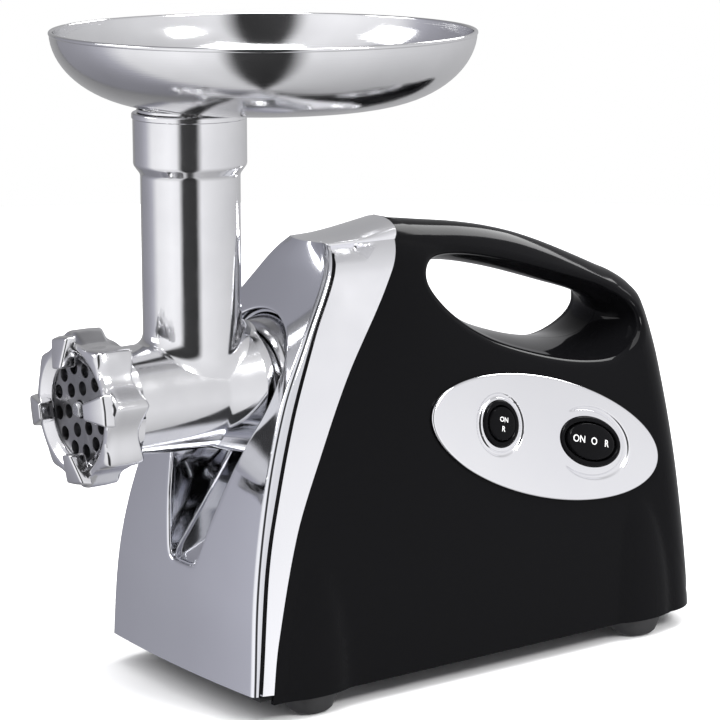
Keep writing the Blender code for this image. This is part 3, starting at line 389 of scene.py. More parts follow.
laminated = makeFinish("laminatedSteel", (0.20, 0.20, 0.21), 1.0, (0.4, 0.55), 90, (0.12, 0.11, 0.11), 60,
                       lathe={"Rings": 2200.0, "Amount": 1.0}, turn=(math.pi / 2, 0, 0), bump=0.35)
bronze = makeFinish("sinteredBronze", (0.52, 0.36, 0.17), 1.0, (0.34, 0.48), 150, (0.40, 0.27, 0.12), 90,
                    skin={"Grain": 2600.0, "Wave": 300.0, "Share": 0.8}, bump=0.2)
copper = makeFinish("enamelledCopper", (0.62, 0.24, 0.10), 1.0, (0.25, 0.4), 150, (0.45, 0.15, 0.06), 120,
                    lathe={"Rings": 1900.0, "Amount": 1.0}, turn=(math.pi / 2, 0, 0), bump=0.4)
nylon = makeFinish("naturalNylon", (0.66, 0.63, 0.54), 0.0, (0.35, 0.5), 80, (0.60, 0.57, 0.47), 40,
                   skin={"Grain": 1300.0, "Wave": 90.0, "Share": 0.6}, bump=0.15, fixed={"Specular IOR Level": 0.45})
carbon = makeFinish("brushCarbon", (0.025, 0.025, 0.026), 0.0, (0.5, 0.65), 200, (0.04, 0.04, 0.042), 200,
                    skin={"Grain": 2600.0, "Wave": 400.0, "Share": 0.8}, bump=0.3)
rubber = makeFinish("mouldedRubber", (0.014, 0.014, 0.015), 0.0, (0.55, 0.7), 120, (0.022, 0.022, 0.023), 60,
                    skin={"Grain": 1900.0, "Wave": 200.0, "Share": 0.8}, bump=0.3)
boardGreen = makeFinish("boardGreen", (0.02, 0.12, 0.05), 0.0, (0.25, 0.4), 120, (0.015, 0.08, 0.035), 220,
                        skin={"Grain": 1500.0, "Wave": 300.0, "Share": 0.5}, bump=0.25)
greyPlastic = makeFinish("greyPlastic", (0.24, 0.25, 0.26), 0.0, (0.4, 0.5), 90, (0.21, 0.22, 0.23), 60,
                         skin={"Grain": 1300.0, "Wave": 120.0, "Share": 0.7}, bump=0.2)
legendWhite = makeFinish("legendWhite", (0.78, 0.78, 0.77), 0.0, (0.4, 0.5), 200, (0.70, 0.70, 0.69), 300,
                         skin={"Grain": 2600.0, "Wave": 300.0, "Share": 0.8}, bump=0.1)

slotFinish = {"black_gloss": blackGloss, "chrome_plastic": chromePlastic, "panel_chrome": panelChrome,
              "black_satin": blackSatin, "polished_aluminium": castPolish, "tray_aluminium": spunPolish,
              "tool_steel": turnedSteel, "dark_steel": darkSteel, "laminated_steel": laminated, "bronze": bronze,
              "copper": copper, "nylon": nylon, "carbon": carbon, "rubber": rubber, "board_green": boardGreen,
              "grey_plastic": greyPlastic}
# every CAD node gets its slot's finish; most of the outer ones are replaced below
for row in frame["record"]["subparts"]:
    for holder in frame["nodes"][row["node"]].material_slots:
        holder.material = slotFinish[row["material_slot"]]
print("finishes made")


# the motor housing's form: half widths from the middle plane, by y (back) and z (up)
form = {"halfWidth": 65.5, "pull": 48, "height": 232.0, "step": 2.0, "rearTaper": 15.0, "edge": 24.0, "baseZ": 10.0,
        "crestZ": 230.0, "legs": (28.0, 241.0), "legBulge": 3.4}
frontEdge = ((8, -10.6), (66, -6.4), (112, 4.0), (150, 19.5), (180, 39.0), (208, 59.5), (222, 67.0))  # z, y
bandEdge = ((8, 0.0), (41, 4.3), (90, 18.0), (125, 36.0), (162, 60.0), (198, 91.0), (222, 110.0), (231, 113.5))
grooveEdge = ((8, -6.5), (67, -0.6), (98, 6.5), (143, 23.6), (181, 45.0), (204, 61.5), (217, 69.6))
topLine = ((112, 229.6), (130, 227.0), (155, 223.8), (180, 219.2), (204, 212.6), (228, 203.6), (252, 193.3),
           (270, 185.5))  # y, z
rearLine = ((10, 285.0), (60, 283.0), (130, 283.0), (160, 283.5))  # z, y
handleOpening = ((122.5, 198), (135, 181.5), (158, 167), (192, 155), (222, 148.5), (246, 148), (262, 156),
                 (264.5, 168), (251, 180), (218, 191.5), (180, 203), (148, 209.5), (128, 208.5))  # y, z


def halfWidth(z):
    return form["halfWidth"] - form["pull"] * (np.maximum(z, 0) / form["height"]) ** 2.4


def housingWidth(y, z):
    taper = form["rearTaper"] * (np.maximum(z, 0) / 160) ** 1.5 * smoothStep((y - 90) / 190)
    return halfWidth(z) + form["step"] - taper


def legBulge(y, z):
    up = np.clip((z - form["baseZ"]) / 66, 0, 1)
    reach = 17 * np.sqrt(np.maximum(1 - up * up, 1e-6))
    nearest = np.min([np.abs(y - leg) for leg in form["legs"]], axis=0)
    across = np.clip(1 - (nearest / reach) ** 2, 0, 1)
    return np.where(up < 1, form["legBulge"] * across ** 0.72 * (1 - up ** 3), 0)


crestYs = (118, 140, 160, 180, 200, 220, 240, 256, 267)
backZs = (150, 125, 95, 60, 30, 10)
outlineStops = ([(90.0, 232.0)] + [(y, float(readCurve(topLine, y))) for y in crestYs]
                + [(277.5, 180.0), (282.0, 171.5)] + [(float(readCurve(rearLine, z)), z) for z in backZs])
outline = smoothLine(outlineStops, 10)


def edgeDistance(y, z):
    a, b = outline[:-1], outline[1:]
    run = b - a
    spot = np.stack([np.ravel(y), np.ravel(z)], -1)
    best = np.full(len(spot), 1e9)
    for start, step in zip(a, run):
        t = np.clip(((spot - start) @ step) / (step @ step), 0, 1)
        best = np.minimum(best, np.linalg.norm(spot - start - t[:, None] * step, axis=1))
    return best.reshape(np.shape(y))


def housingX(y, z):
    width = housingWidth(y, z) + legBulge(y, z)
    radius = np.minimum(form["edge"], width - 0.15)
    depth = np.clip(edgeDistance(y, z) / radius, 0, 1)
    return width - radius * (1 - np.sqrt(np.clip(1 - (1 - depth) ** 2, 0, 1)))


# housing halves: rings from the handle opening out to the side's outline
housing = {"waist": 5.4, "centre": (193.0, 178.0), "rays": 420, "fillet": 5.0, "filletSteps": 6,
           "rings": 46, "lip": 2.6, "wall": 1.7}


def housingSheet():
    centre = housing["centre"]
    seamZ = np.linspace(form["baseZ"], form["crestZ"], 90)
    seam = np.stack([readCurve(bandEdge, seamZ) + 0.45, seamZ], -1)
    crest = outline[(outline[:, 0] > seam[-1, 0] + 1)]
    bottom = np.stack([np.linspace(285, seam[0, 0], 60)[1:-1], np.full(58, form["baseZ"])], -1)
    loop = np.concatenate([seam, crest, bottom])
    corners = [seam[0], seam[-1], outline[-1]]
    angles = np.linspace(-np.pi, np.pi, housing["rays"], endpoint=False)
    corner = [math.atan2(c[1] - centre[1], c[0] - centre[0]) for c in corners]
    for bearing in corner:
        angles[np.argmin(np.abs(angles - bearing))] = bearing
    outer = onRays(loop, centre, angles)
    opening = smoothLine(handleOpening, 24, closed=True)
    inner = onRays(opening, centre, angles)
    run = np.roll(inner, -1, 0) - np.roll(inner, 1, 0)
    for _ in range(4):
        run = (np.roll(run, 1, 0) + 2 * run + np.roll(run, -1, 0)) / 4
    run /= np.linalg.norm(run, axis=1, keepdims=True)
    outward = np.stack([run[:, 1], -run[:, 0]], -1)
    start = inner + outward * housing["fillet"]
    rows = []
    baseX = housingX(inner[:, 0], inner[:, 1]) - housing["fillet"]
    for x in np.linspace(0, 1, 11)[:-1]:  # the tunnel is narrower at the middle, as the handle is round
        spot = inner - outward * housing["waist"] * (1 - x * x)
        rows.append(np.stack([0.15 + (baseX - 0.15) * x, spot[:, 0], spot[:, 1]], -1))
    for a in np.linspace(np.pi / 2, 0, housing["filletSteps"] + 1):
        spot = inner + outward * housing["fillet"] * (1 - math.sin(a))
        x = housingX(spot[:, 0], spot[:, 1]) - housing["fillet"] * (1 - math.cos(a))
        rows.append(np.stack([x, spot[:, 0], spot[:, 1]], -1))
    share = np.linspace(0, 1, housing["rings"] + 1)[1:]
    share = 1 - (1 - share) ** 1.35  # closer together towards the rounded outline
    for t in share:
        spot = start + (outer - start) * t
        rows.append(np.stack([housingX(spot[:, 0], spot[:, 1]), spot[:, 0], spot[:, 1]], -1))
    last = rows[-1]
    onSeam = (angles > corner[1] - 1e-9) | (angles < corner[0] + 1e-9)
    onBottom = (angles > corner[0]) & (angles < corner[2] - 1e-9)
    end = np.where(onSeam | onBottom, np.maximum(last[:, 0] - housing["lip"], 0.15), 0.15)
    for t in np.linspace(0, 1, 7)[1:]:
        rows.append(np.stack([last[:, 0] + (end - last[:, 0]) * t, last[:, 1], last[:, 2]], -1))
    table = np.array(rows)
    return np.concatenate([table, table[:, :1]], 1)


sheet = housingSheet()
rightShell = formSheet("rightHousingShell", sheet)
editing(rightShell)
bpy.ops.mesh.normals_make_consistent(inside=False)
doneEditing()
if sum(p.normal.x for p in rightShell.data.polygons) < 0:
    rightShell.data.flip_normals()
thickened(rightShell, housing["wall"])
pick(rightShell)
bpy.ops.object.duplicate()
leftShell = newest("leftHousingShell")
leftShell.data.transform(Matrix.Scale(-1, 4, (1, 0, 0)))
leftShell.data.flip_normals()
print("housing shells", len(rightShell.data.polygons))


# the oval control panel and its switches, on the right side
panel = {"centre": (181.2, 114.8), "half": (78.5, 30.5), "tilt": math.radians(-16), "lift": 0.6, "thickness": 1.4,
         "crown": 0.8, "edge": 1.2}
reverse = {"centre": (148.7, 126.2), "half": (12.0, 12.0), "cap": (8.7, 8.7), "bezel": 2.8, "top": 4.4, "crown": 0.5,
           "groove": 14.6, "legends": (("ON", 0, 1.9, 3.6), ("R", 0, -2.9, 3.8))}
rockerSwitch = {"centre": (209.0, 108.3), "half": (21.5, 13.0), "cap": (16.7, 9.6), "bezel": 2.8, "top": 4.0,
                "crown": 0.9, "groove": 4.4,
                "legends": (("ON", -9.6, 0, 5.2), ("O", 0.6, 0, 5.4), ("R", 9.8, 0, 5.2))}


def surfaceFrame(centre, lift=0.0):
    # axes on the housing's right side: along the panel, across it, and straight out
    y, z = centre
    slopeY = float(housingWidth(y + 0.5, z) - housingWidth(y - 0.5, z))
    slopeZ = float(housingWidth(y, z + 0.5) - housingWidth(y, z - 0.5))
    out = Vector((1, -slopeY, -slopeZ)).normalized()
    run = Vector((0, math.cos(panel["tilt"]), math.sin(panel["tilt"])))
    run = (run - out * run.dot(out)).normalized()
    axes = Matrix((run, out.cross(run), out)).transposed().to_4x4()
    axes.translation = Vector((float(housingWidth(y, z)) + lift, y, z))
    return axes


def panelSpot(u, v):
    cosTilt, sinTilt = math.cos(panel["tilt"]), math.sin(panel["tilt"])
    return panel["centre"][0] + u * cosTilt - v * sinTilt, panel["centre"][1] + u * sinTilt + v * cosTilt


def panelUV(centre):
    y, z = centre[0] - panel["centre"][0], centre[1] - panel["centre"][1]
    cosTilt, sinTilt = math.cos(panel["tilt"]), math.sin(panel["tilt"])
    return y * cosTilt + z * sinTilt, -y * sinTilt + z * cosTilt


def grooveDepth(u, v):
    # a ring groove round the reverse button and a tapering C round the rocker, open towards the front
    a, b = panelUV(reverse["centre"])
    ring = np.hypot(u - a, v - b) - reverse["groove"]
    depth = 1.0 * np.exp(-(ring / 1.1) ** 4)
    a, b = panelUV(rockerSwitch["centre"])
    halfU, halfV = rockerSwitch["half"]
    bearing = np.arctan2((v - b) / halfV, (u - a) / halfU)
    halfU, halfV = halfU + rockerSwitch["groove"], halfV + rockerSwitch["groove"]
    oval = (np.hypot((u - a) / halfU, (v - b) / halfV) - 1) * (halfU + halfV) / 2
    width = 1.7 * np.sqrt(np.clip(1 - (np.abs(bearing) / math.radians(125)) ** 2, 0, 1)) + 1e-3
    return np.maximum(depth, 1.1 * np.minimum(1, width / 0.9) * np.exp(-(oval / width) ** 4))


def panelSheet(columns=400, ringsOut=184):
    turn = np.linspace(0, 2 * np.pi, columns + 1)
    halfU, halfV = panel["half"]
    edge, top = panel["edge"], panel["thickness"]
    rows = []

    def row(inset, height, share=1.0, grooves=False):
        u = (halfU - inset) * share * np.cos(turn)
        v = (halfV - inset) * share * np.sin(turn)
        y, z = panelSpot(u, v)
        lift = panel["lift"] + height
        if grooves:
            lift = lift + panel["crown"] * (1 - share ** 2) - grooveDepth(u, v)
        rows.append(np.stack([housingWidth(y, z) + lift, y, z], -1))

    for share in np.linspace(0, 1, ringsOut + 1):
        row(edge, top, share, grooves=True)
    for a in np.linspace(0, np.pi / 2, 6)[1:]:
        row(edge * (1 - math.sin(a)), top - edge * (1 - math.cos(a)))
    for share in np.linspace(1, 0, 14):
        row(0.0, 0.0, share)
    return np.array(rows)


controlPanel = formSheet("controlPanelPlate", panelSheet())


def oval(halfU, halfV, count=72, grow=0.0):
    turn = np.linspace(0, 2 * np.pi, count, endpoint=False)
    return [((halfU + grow) * math.cos(t), (halfV + grow) * math.sin(t)) for t in turn]


def ovalRing(name, halfU, halfV, profile, frameAt, columns=96):
    # a closed section of (inset, height) carried round an oval
    turn = np.linspace(0, 2 * np.pi, columns + 1)
    rows = [np.stack([(halfU - inset) * np.cos(turn), (halfV - inset) * np.sin(turn), np.full_like(turn, height)], -1)
            for inset, height in profile]
    piece = formSheet(name, np.array(rows + rows[:1]))
    piece.data.transform(frameAt)
    return piece


reverseFrame, rockerFrame = surfaceFrame(reverse["centre"]), surfaceFrame(rockerSwitch["centre"])


def switchHoles(gap, depth):
    return [prism("hole", oval(*half, 80, gap), 24, at @ Matrix.Translation((0, 0, depth)))
            for at, half in ((reverseFrame, reverse["half"]), (rockerFrame, rockerSwitch["half"]))]


cutAway(controlPanel, *switchHoles(0.35, -12))
cutAway(rightShell, *switchHoles(0.6, -16))
settle(rightShell, blackGloss, "body", "black_gloss", "right_housing", angle=50)
settle(leftShell, blackGloss, "body", "black_gloss", "left_housing", angle=50)
settle(controlPanel, panelChrome, "body", "panel_chrome", "control_panel", angle=35)


def bezelProfile(width, depth=-8.6, top=3.5):
    return rounded([(0, depth), (0, top, 1.3), (width, top, 1.0), (width, depth)][::-1], 5)


for name, switch, at, stands in (("reverseBezelRing", reverse, reverseFrame, "reverse_bezel"),
                                 ("rockerBezelRing", rockerSwitch, rockerFrame, "rocker_bezel")):
    settle(ovalRing(name, *switch["half"], bezelProfile(switch["bezel"]), at), blackGloss, "body", "black_gloss",
           stands)


def domedCap(name, switch, at):
    halfU, halfV = switch["cap"]
    low, high, crown = -5.4, switch["top"], switch["crown"]
    turn = np.linspace(0, 2 * np.pi, 97)
    rows = []
    side = [(0, low), (0.96, low), (1, low + 0.5), (1, high - 1.3), (0.985, high - 0.55), (0.95, high - 0.12),
            (0.9, high)]
    top = [(share, high + crown * (1 - (share / 0.9) ** 2)) for share in (0.75, 0.6, 0.45, 0.3, 0.15, 0)]
    for share, height in side + top:
        u, v = halfU * share * np.cos(turn), halfV * share * np.sin(turn)
        rows.append(np.stack([u, v, np.full_like(turn, height)], -1))
    piece = formSheet(name, np.array(rows))
    piece.data.transform(at)
    return piece


settle(domedCap("reverseCap", reverse, reverseFrame), blackGloss, "reverse", "black_satin", "reverse_button")
settle(domedCap("rockerCapPiece", rockerSwitch, rockerFrame), blackGloss, "rocker", "black_satin", "rocker_cap")


def legend(name, switch, at, body):
    # raised letters that follow the crown of the cap they stand on
    def roof(u, v):
        halfU, halfV = switch["cap"]
        return switch["top"] + switch["crown"] * (1 - min(1, math.hypot(u / halfU, v / halfV) / 0.9) ** 2)

    sunk, pieces = 0.14, []
    for word, u, v, size in switch["legends"]:
        bpy.ops.object.select_all(action="DESELECT")
        bpy.ops.object.text_add(location=(0, 0, 0))
        writing = bpy.context.object
        writing.data.body = word
        writing.data.size = size
        writing.data.align_x, writing.data.align_y = "CENTER", "CENTER"
        writing.data.extrude = 0.25
        writing.data.offset = 0.04
        writing.data.resolution_u = 4
        bpy.ops.object.convert(target="MESH")
        made = newest(name)
        for vertex in made.data.vertices:
            vertex.co.x += u
            vertex.co.y += v
            vertex.co.z += roof(vertex.co.x, vertex.co.y) - sunk
        pieces.append(made)
    merged(pieces[0], *pieces[1:])
    pieces[0].name = name
    pieces[0].data.transform(at)
    return settle(weld(pieces[0], 0.0005), legendWhite, body, "black_satin")


legend("reverseLegend", reverse, reverseFrame, "reverse")
legend("rockerLegend", rockerSwitch, rockerFrame, "rocker")
print("control panel and switches made")


# chrome front cover: face and recess, side bands, crest cap, and black strips laid in the side grooves as painted shade
# and painted dark reflection
cover = {"baseZ": 15.0, "topZ": 222.0, "corner": 3.0, "holeRadius": 34.6, "recessRadius": 36.5, "tipZ": 67.0,
         "tipHalf": 11.0, "floorY": 47.0, "groove": 1.15, "rays": 420}


def seamX(z):
    return housingX(readCurve(bandEdge, z), z)


sampleZ = np.linspace(8, 230, 223)
seamTable = seamX(sampleZ)


def faceHalf(z):
    return np.interp(z, sampleZ, seamTable) - form["step"]


def faceY(x, z):
    return readCurve(frontEdge, z) - 2.2 + 2.5 * np.clip(np.abs(x) / (faceHalf(z) - cover["corner"]), 0, 1) ** 2


def recessOutline():
    radius, tipHalf, drop = cover["recessRadius"], cover["tipHalf"], headZ - cover["tipZ"]
    tangent = math.acos(radius / math.hypot(tipHalf, drop)) + math.atan2(-drop, tipHalf)
    turn = np.linspace(tangent, math.pi - tangent, 140)
    arc = [(radius * math.cos(t), headZ + radius * math.sin(t)) for t in turn]
    foot = rounded([arc[-1], (-tipHalf, cover["tipZ"], 9), (tipHalf, cover["tipZ"], 9), arc[0]], 10)[1:-1]
    return densify(np.array(arc + foot))


def densify(loop, step=1.0):
    dense = []
    for start, end in zip(loop, np.roll(loop, -1, 0)):
        count = max(1, int(np.linalg.norm(end - start) / step))
        dense += [start + (end - start) * k / count for k in range(count)]
    return np.array(dense)


def floorDepth(z):
    ramp = float(readCurve(frontEdge, cover["tipZ"])) + z - cover["tipZ"]
    soft = 3.0  # the ramp runs softly into the flat floor
    return -np.logaddexp(-ramp / soft, -cover["floorY"] / soft) * soft


def coverFace():
    centre = (0.0, headZ)
    z = np.linspace(cover["baseZ"], cover["topZ"], 120)
    side = np.stack([faceHalf(z) - cover["corner"], z], -1)
    loop = densify(np.concatenate([side, (side * (-1, 1))[::-1]]), 2.0)
    angles = np.linspace(-np.pi, np.pi, cover["rays"], endpoint=False)
    for corner in (side[0], side[-1], side[0] * (-1, 1), side[-1] * (-1, 1)):
        bearing = math.atan2(corner[1] - centre[1], corner[0])
        angles[np.argmin(np.abs(angles - bearing))] = bearing
    outer, inner = onRays(loop, centre, angles), onRays(recessOutline(), centre, angles)
    run = np.roll(inner, -1, 0) - np.roll(inner, 1, 0)
    run /= np.linalg.norm(run, axis=1, keepdims=True)
    outward = np.stack([run[:, 1], -run[:, 0]], -1)
    hole = np.stack([np.cos(angles), np.sin(angles)], -1) * cover["holeRadius"] + np.array(centre)
    rows = [np.stack([hole[:, 0], np.full(len(hole), cover["floorY"] + 3.0), hole[:, 1]], -1)]
    foot = inner - outward * 1.3
    for t in np.linspace(0, 1, 22):
        spot = hole + (foot - hole) * t
        rows.append(np.stack([spot[:, 0], floorDepth(spot[:, 1]), spot[:, 1]], -1))
    floorY = floorDepth(inner[:, 1])
    rim = faceY(inner[:, 0], inner[:, 1])
    lip = np.minimum(1.6, np.maximum((floorY - rim) * 0.45, 0.05))
    for a in np.linspace(0, np.pi / 2, 5)[1:]:  # small fillet at the foot of the wall
        spot = foot + outward * 1.3 * math.sin(a)
        depth = np.minimum(floorDepth(spot[:, 1]), floorY) - lip * 0.6 * (1 - math.cos(a))
        rows.append(np.stack([spot[:, 0], depth, spot[:, 1]], -1))
    low = rows[-1][:, 1]
    for t in np.linspace(0, 1, 12)[1:-1]:
        rows.append(np.stack([inner[:, 0], low + (rim + lip - low) * t, inner[:, 1]], -1))
    for a in np.linspace(0, np.pi / 2, 6):
        spot = inner + outward * 1.6 * (1 - math.cos(a))
        rows.append(np.stack([spot[:, 0], faceY(spot[:, 0], spot[:, 1]) + lip * (1 - math.sin(a)), spot[:, 1]], -1))
    start = inner + outward * 1.6
    for t in np.linspace(0, 1, 26)[1:]:
        spot = start + (outer - start) * t
        rows.append(np.stack([spot[:, 0], faceY(spot[:, 0], spot[:, 1]), spot[:, 1]], -1))
    edge = rows[-1]
    z = edge[:, 2]
    onSide = (z > cover["baseZ"] + 0.01) & (z < cover["topZ"] - 0.01)
    onSide |= np.abs(np.abs(edge[:, 0]) - (faceHalf(z) - cover["corner"])) < 0.01
    hand = np.sign(edge[:, 0])
    front, radius = edge[:, 1], cover["corner"]
    for a in np.linspace(0, np.pi / 2, 7)[1:]:
        x = hand * (faceHalf(z) - radius * (1 - math.sin(a)))
        x = np.where(onSide, x, edge[:, 0])
        y = front + radius * (1 - math.cos(a))
        rows.append(np.stack([x, y, z], -1))
    grooveY = readCurve(grooveEdge, z) - cover["groove"]
    start = rows[-1]
    for t in np.linspace(0, 1, 5)[1:]:
        y = start[:, 1] + np.maximum(grooveY - start[:, 1], 0) * t
        x = np.where(onSide, hand * sideX(y, z), start[:, 0])
        rows.append(np.stack([x, y, z], -1))
    last = rows[-1]
    for depth in (0.8, 2.2):
        x = np.where(onSide, last[:, 0] - hand * depth, last[:, 0])
        rows.append(np.stack([x, last[:, 1] + np.where(onSide, 0, depth), z], -1))
    table = np.array(rows)
    return np.concatenate([table, table[:, :1]], 1)


def sideX(y, z):
    front = readCurve(frontEdge, z) + 3.3
    seam = readCurve(bandEdge, z)
    t = np.clip((y - front) / np.maximum(seam - front, 1), 0, 1)
    return faceHalf(z) + form["step"] * t ** 1.3


def bandPocket(y, z):
    # the wedge-shaped pocket where the black groove strip of painted shade ends: deepest under its sharp upper edge
    top = 220.6 - (y - 68.0) * 0.03
    low = np.where(y < 87, 213.0, 213.0 + (y - 87) * 0.62)
    inside = (z < top) & (z > low) & (y < 98.5)
    depth = 2.8 * np.clip((z - low) / np.maximum(top - low, 0.2), 0, 1) * np.clip((98.5 - y) / 14, 0, 1)
    return np.where(inside, depth, 0.0)


def bandSheet(sideRows=280, topRows=90, columns=44):
    z = np.linspace(cover["baseZ"], 220.8, sideRows)
    frontY = readCurve(grooveEdge, np.minimum(z, 217)) + cover["groove"]
    frontY = np.where(z > 217, 70.0, frontY)
    seamY = readCurve(bandEdge, z)
    front = np.stack([sideX(frontY, z), frontY, z], -1)
    rear = np.stack([np.interp(z, sampleZ, seamTable), seamY, z], -1)
    # over the crest: the flat front edge against the rounded seam
    turn = np.linspace(0, 1, topRows + 1)[1:]
    corner = front[-1]
    cornerTurn = np.clip(turn / 0.14, 0, 1)
    acrossTurn = np.clip((turn - 0.14) / 0.86, 0, 1)
    topX = (corner[0] - 1.6 * (1 - np.cos(cornerTurn * np.pi / 2))) * (1 - acrossTurn)
    topZ = corner[2] + 1.2 * np.sin(cornerTurn * np.pi / 2)
    topFront = np.stack([topX, corner[1] - 1.4 * cornerTurn - 1.6 * np.sin(acrossTurn * np.pi / 2), topZ], -1)
    seamZ = z[-1] + (form["crestZ"] + 0.1 - z[-1]) * np.sin(turn * np.pi / 2)
    seamSpot = readCurve(bandEdge, seamZ)
    lastHalf = rear[-1, 0]
    topRear = np.stack([lastHalf * np.cos(turn * np.pi / 2), seamSpot, seamZ], -1)
    topRear[:, 0] = np.where(turn < 1, np.minimum(topRear[:, 0], lastHalf), 0)
    halfFront, halfRear = np.concatenate([front, topFront]), np.concatenate([rear, topRear])
    flip = np.array((-1, 1, 1))
    allFront = np.concatenate([halfFront, (halfFront * flip)[-2::-1]])
    allRear = np.concatenate([halfRear, (halfRear * flip)[-2::-1]])
    rows = []
    first = allFront.copy()
    first[:, 0] -= np.sign(first[:, 0]) * np.where(np.abs(first[:, 0]) > 20, 2.4, 0)
    first[:, 2] -= np.where(np.abs(allFront[:, 0]) < corner[0] - 0.4, 2.0, 0)
    rows.append(first)
    for t in np.linspace(0, 1, columns + 1):
        spot = allFront + (allRear - allFront) * t
        bandX = np.sign(spot[:, 0]) * sideX(spot[:, 1], np.minimum(spot[:, 2], 222))
        sideShare = np.where((allFront[:, 2] <= 220.81) & (np.abs(allFront[:, 0]) > 5), 1.0, 0.0)
        spot[:, 0] = spot[:, 0] * (1 - sideShare) + bandX * sideShare
        spot[:, 0] -= np.sign(spot[:, 0]) * bandPocket(spot[:, 1], spot[:, 2]) * sideShare
        rows.append(spot)
    end = rows[-1].copy()
    centreLine = np.stack([np.zeros(len(end)), end[:, 1], np.full(len(end), 120.0)], -1)
    inward = centreLine - end
    inward[:, 2] = np.where(end[:, 2] > 200, inward[:, 2], 0)
    inward[:, 1] = 0
    inward /= np.maximum(np.linalg.norm(inward, axis=1, keepdims=True), 1e-6)
    for depth in (0.7, 2.6):
        rows.append(end + inward * depth)
    return np.array(rows)


face = formSheet("frontFace", coverFace())
if sum(p.normal.y * p.area for p in face.data.polygons) > 0:
    face.data.flip_normals()
thickened(face, 1.5)
band = formSheet("frontBand", bandSheet())
if sum(p.normal.z * p.area for p in band.data.polygons) < 0:
    band.data.flip_normals()
thickened(band, 1.5)
settle(face, chromePlastic, "body", "chrome_plastic", "front_cover", angle=40)
settle(band, panelChrome, "body", "chrome_plastic", "front_cover", angle=40)


# a thin black strip sunk along each side groove: painted shade and painted dark reflection where the chrome groove
# itself reads dark
def grooveShadeSheet(side):
    z = np.linspace(cover["baseZ"] + 1, 217.5, 160)
    rows = []
    y = readCurve(grooveEdge, z)
    for across, sunk in ((-1.1, 2.4), (-1.1, 0.75), (-0.8, 0.55), (0, 0.45), (0.8, 0.55), (1.1, 0.75), (1.1, 2.4)):
        rows.append(np.stack([side * (sideX(y + across, z) - sunk), y + across, z], -1))
    rows.append(rows[0])
    return np.array(rows)


# the black strips stand in for the grooves' shade and dark reflection; they are painted shade, not a separate trim
for side, hand in ((1, "right"), (-1, "left")):
    grooveShade = rimsFilled(formSheet(hand + "ShadeStrip", grooveShadeSheet(side)))
    settle(grooveShade, blackGloss, "body", "black_gloss", "accent_strip_" + hand)
print("front cover made")


# grinding head: barrel, feed throat and collar
head = {"throat": 24.2, "throatBore": 20.5, "collar": 28.0, "collarTop": 290.7, "collarFoot": 261.0,
        "seat": 25.2, "seatFoot": 270.7, "fillet": 7.0}
barrelLine = [(30.2, -64.0, 0.4), (30.2, -53.0, 1.0), (26.8, -51.0, 1.5), (27.8, 4.0, 10.0), (32.7, 22.5, 3.0),
              (32.7, 28.0, 1.2), (26.0, 30.0, 0.6), (26.0, 58.0, 1.0), (21.0, 58.0, 0.8), (21.0, 46.0), (15.2, 46.0),
              (15.2, 36.0), (22.0, 36.0), (22.0, -52.5), (27.4, -52.5), (27.4, -64.0)]
barrel = turned("headBarrel", rounded(barrelLine), "Y", (0, headZ), 120)
bpy.ops.object.select_all(action="DESELECT")
bpy.ops.mesh.primitive_cylinder_add(vertices=72, radius=head["throatBore"] + 0.2, depth=60,
                                    location=(0, 0, headZ + 33))
cutAway(barrel, newest("feedHole"))


def barrelRadius(y):
    return readCurve(((-50, 26.8), (-30, 27.1), (-15, 27.4), (2, 27.8), (12, 29.7), (20, 31.9), (30, 32.7)), y)


def throatSheet(columns=144):
    turn = np.linspace(0, 2 * np.pi, columns + 1)
    c, s = np.cos(turn), np.sin(turn)
    top, foot, radius = head["collarTop"], head["collarFoot"], head["throat"]
    seat, shoulder = head["seat"], head["seatFoot"]
    line = rounded([(seat, shoulder), (seat, top, 0.8), (head["collar"], top, 1.1), (head["collar"], top - 2.6),
                    (head["collar"] - 0.5, top - 3.0, 0.3), (head["collar"] - 0.5, foot + 4.5, 3.5),
                    (radius, foot, 4.0), (radius, 200.0)], 6)
    rows = [np.stack([r * c, r * s, np.full_like(turn, z)], -1) for r, z in line[1:] if z > 199]
    hitRadius = barrelRadius(radius * s)
    hitTurn = np.arcsin(np.clip(radius * c / hitRadius, -1, 1))
    hitZ = headZ + np.sqrt(np.maximum(hitRadius ** 2 - (radius * c) ** 2, 1))
    grow = head["fillet"]
    for t in np.linspace(0, 1, 8)[1:-1]:
        rows.append(np.stack([radius * c, radius * s, 200 + (hitZ + grow - 200) * t], -1))
    endY = radius * s + grow * s
    endRadius = barrelRadius(endY) - 0.12
    endTurn = hitTurn + grow / 28 * c * 1.15
    begin = np.stack([radius * c, radius * s, hitZ + grow], -1)
    bend = np.stack([radius * c, radius * s, hitZ + 0.4], -1)
    finish = np.stack([endRadius * np.sin(endTurn), endY, headZ + endRadius * np.cos(endTurn)], -1)
    for t in np.linspace(0, 1, 13):
        rows.append(begin * (1 - t) ** 2 + bend * 2 * t * (1 - t) + finish * t ** 2)
    bore = head["throatBore"]
    inner = np.stack([bore * c, bore * s, headZ + np.sqrt(np.maximum(23.0 ** 2 - (bore * c) ** 2, 1)) + 1], -1)
    rows.append(finish - np.array((0, 0, 1.5)))
    rows.append(inner)
    for z in (200, 240, 268, shoulder):
        rows.append(np.stack([bore * c, bore * s, np.full_like(turn, z)], -1))
    rows.append(np.stack([seat * c, seat * s, np.full_like(turn, shoulder)], -1))
    rows.append(rows[0])
    return np.array(rows)


throat = formSheet("headThroat", throatSheet())
settle(barrel, castPolish, "head", "polished_aluminium", "grinder_head", angle=45)
settle(throat, castPolish, "head", "polished_aluminium", "grinder_head", angle=45)


# feed tray
tray = {"radius": 104.5, "centreY": 43.3, "rimZ": 328.0, "floorZ": 291.0, "flat": 52.0, "thick": 1.3, "bead": 1.1}


def traySide(inset, last):
    reach, rise = tray["radius"] - tray["flat"] - inset, tray["rimZ"] - tray["floorZ"] - inset
    return [(tray["flat"] + reach * math.sin(a), tray["rimZ"] - rise * math.cos(a)) for a in np.linspace(0, last, 22)]


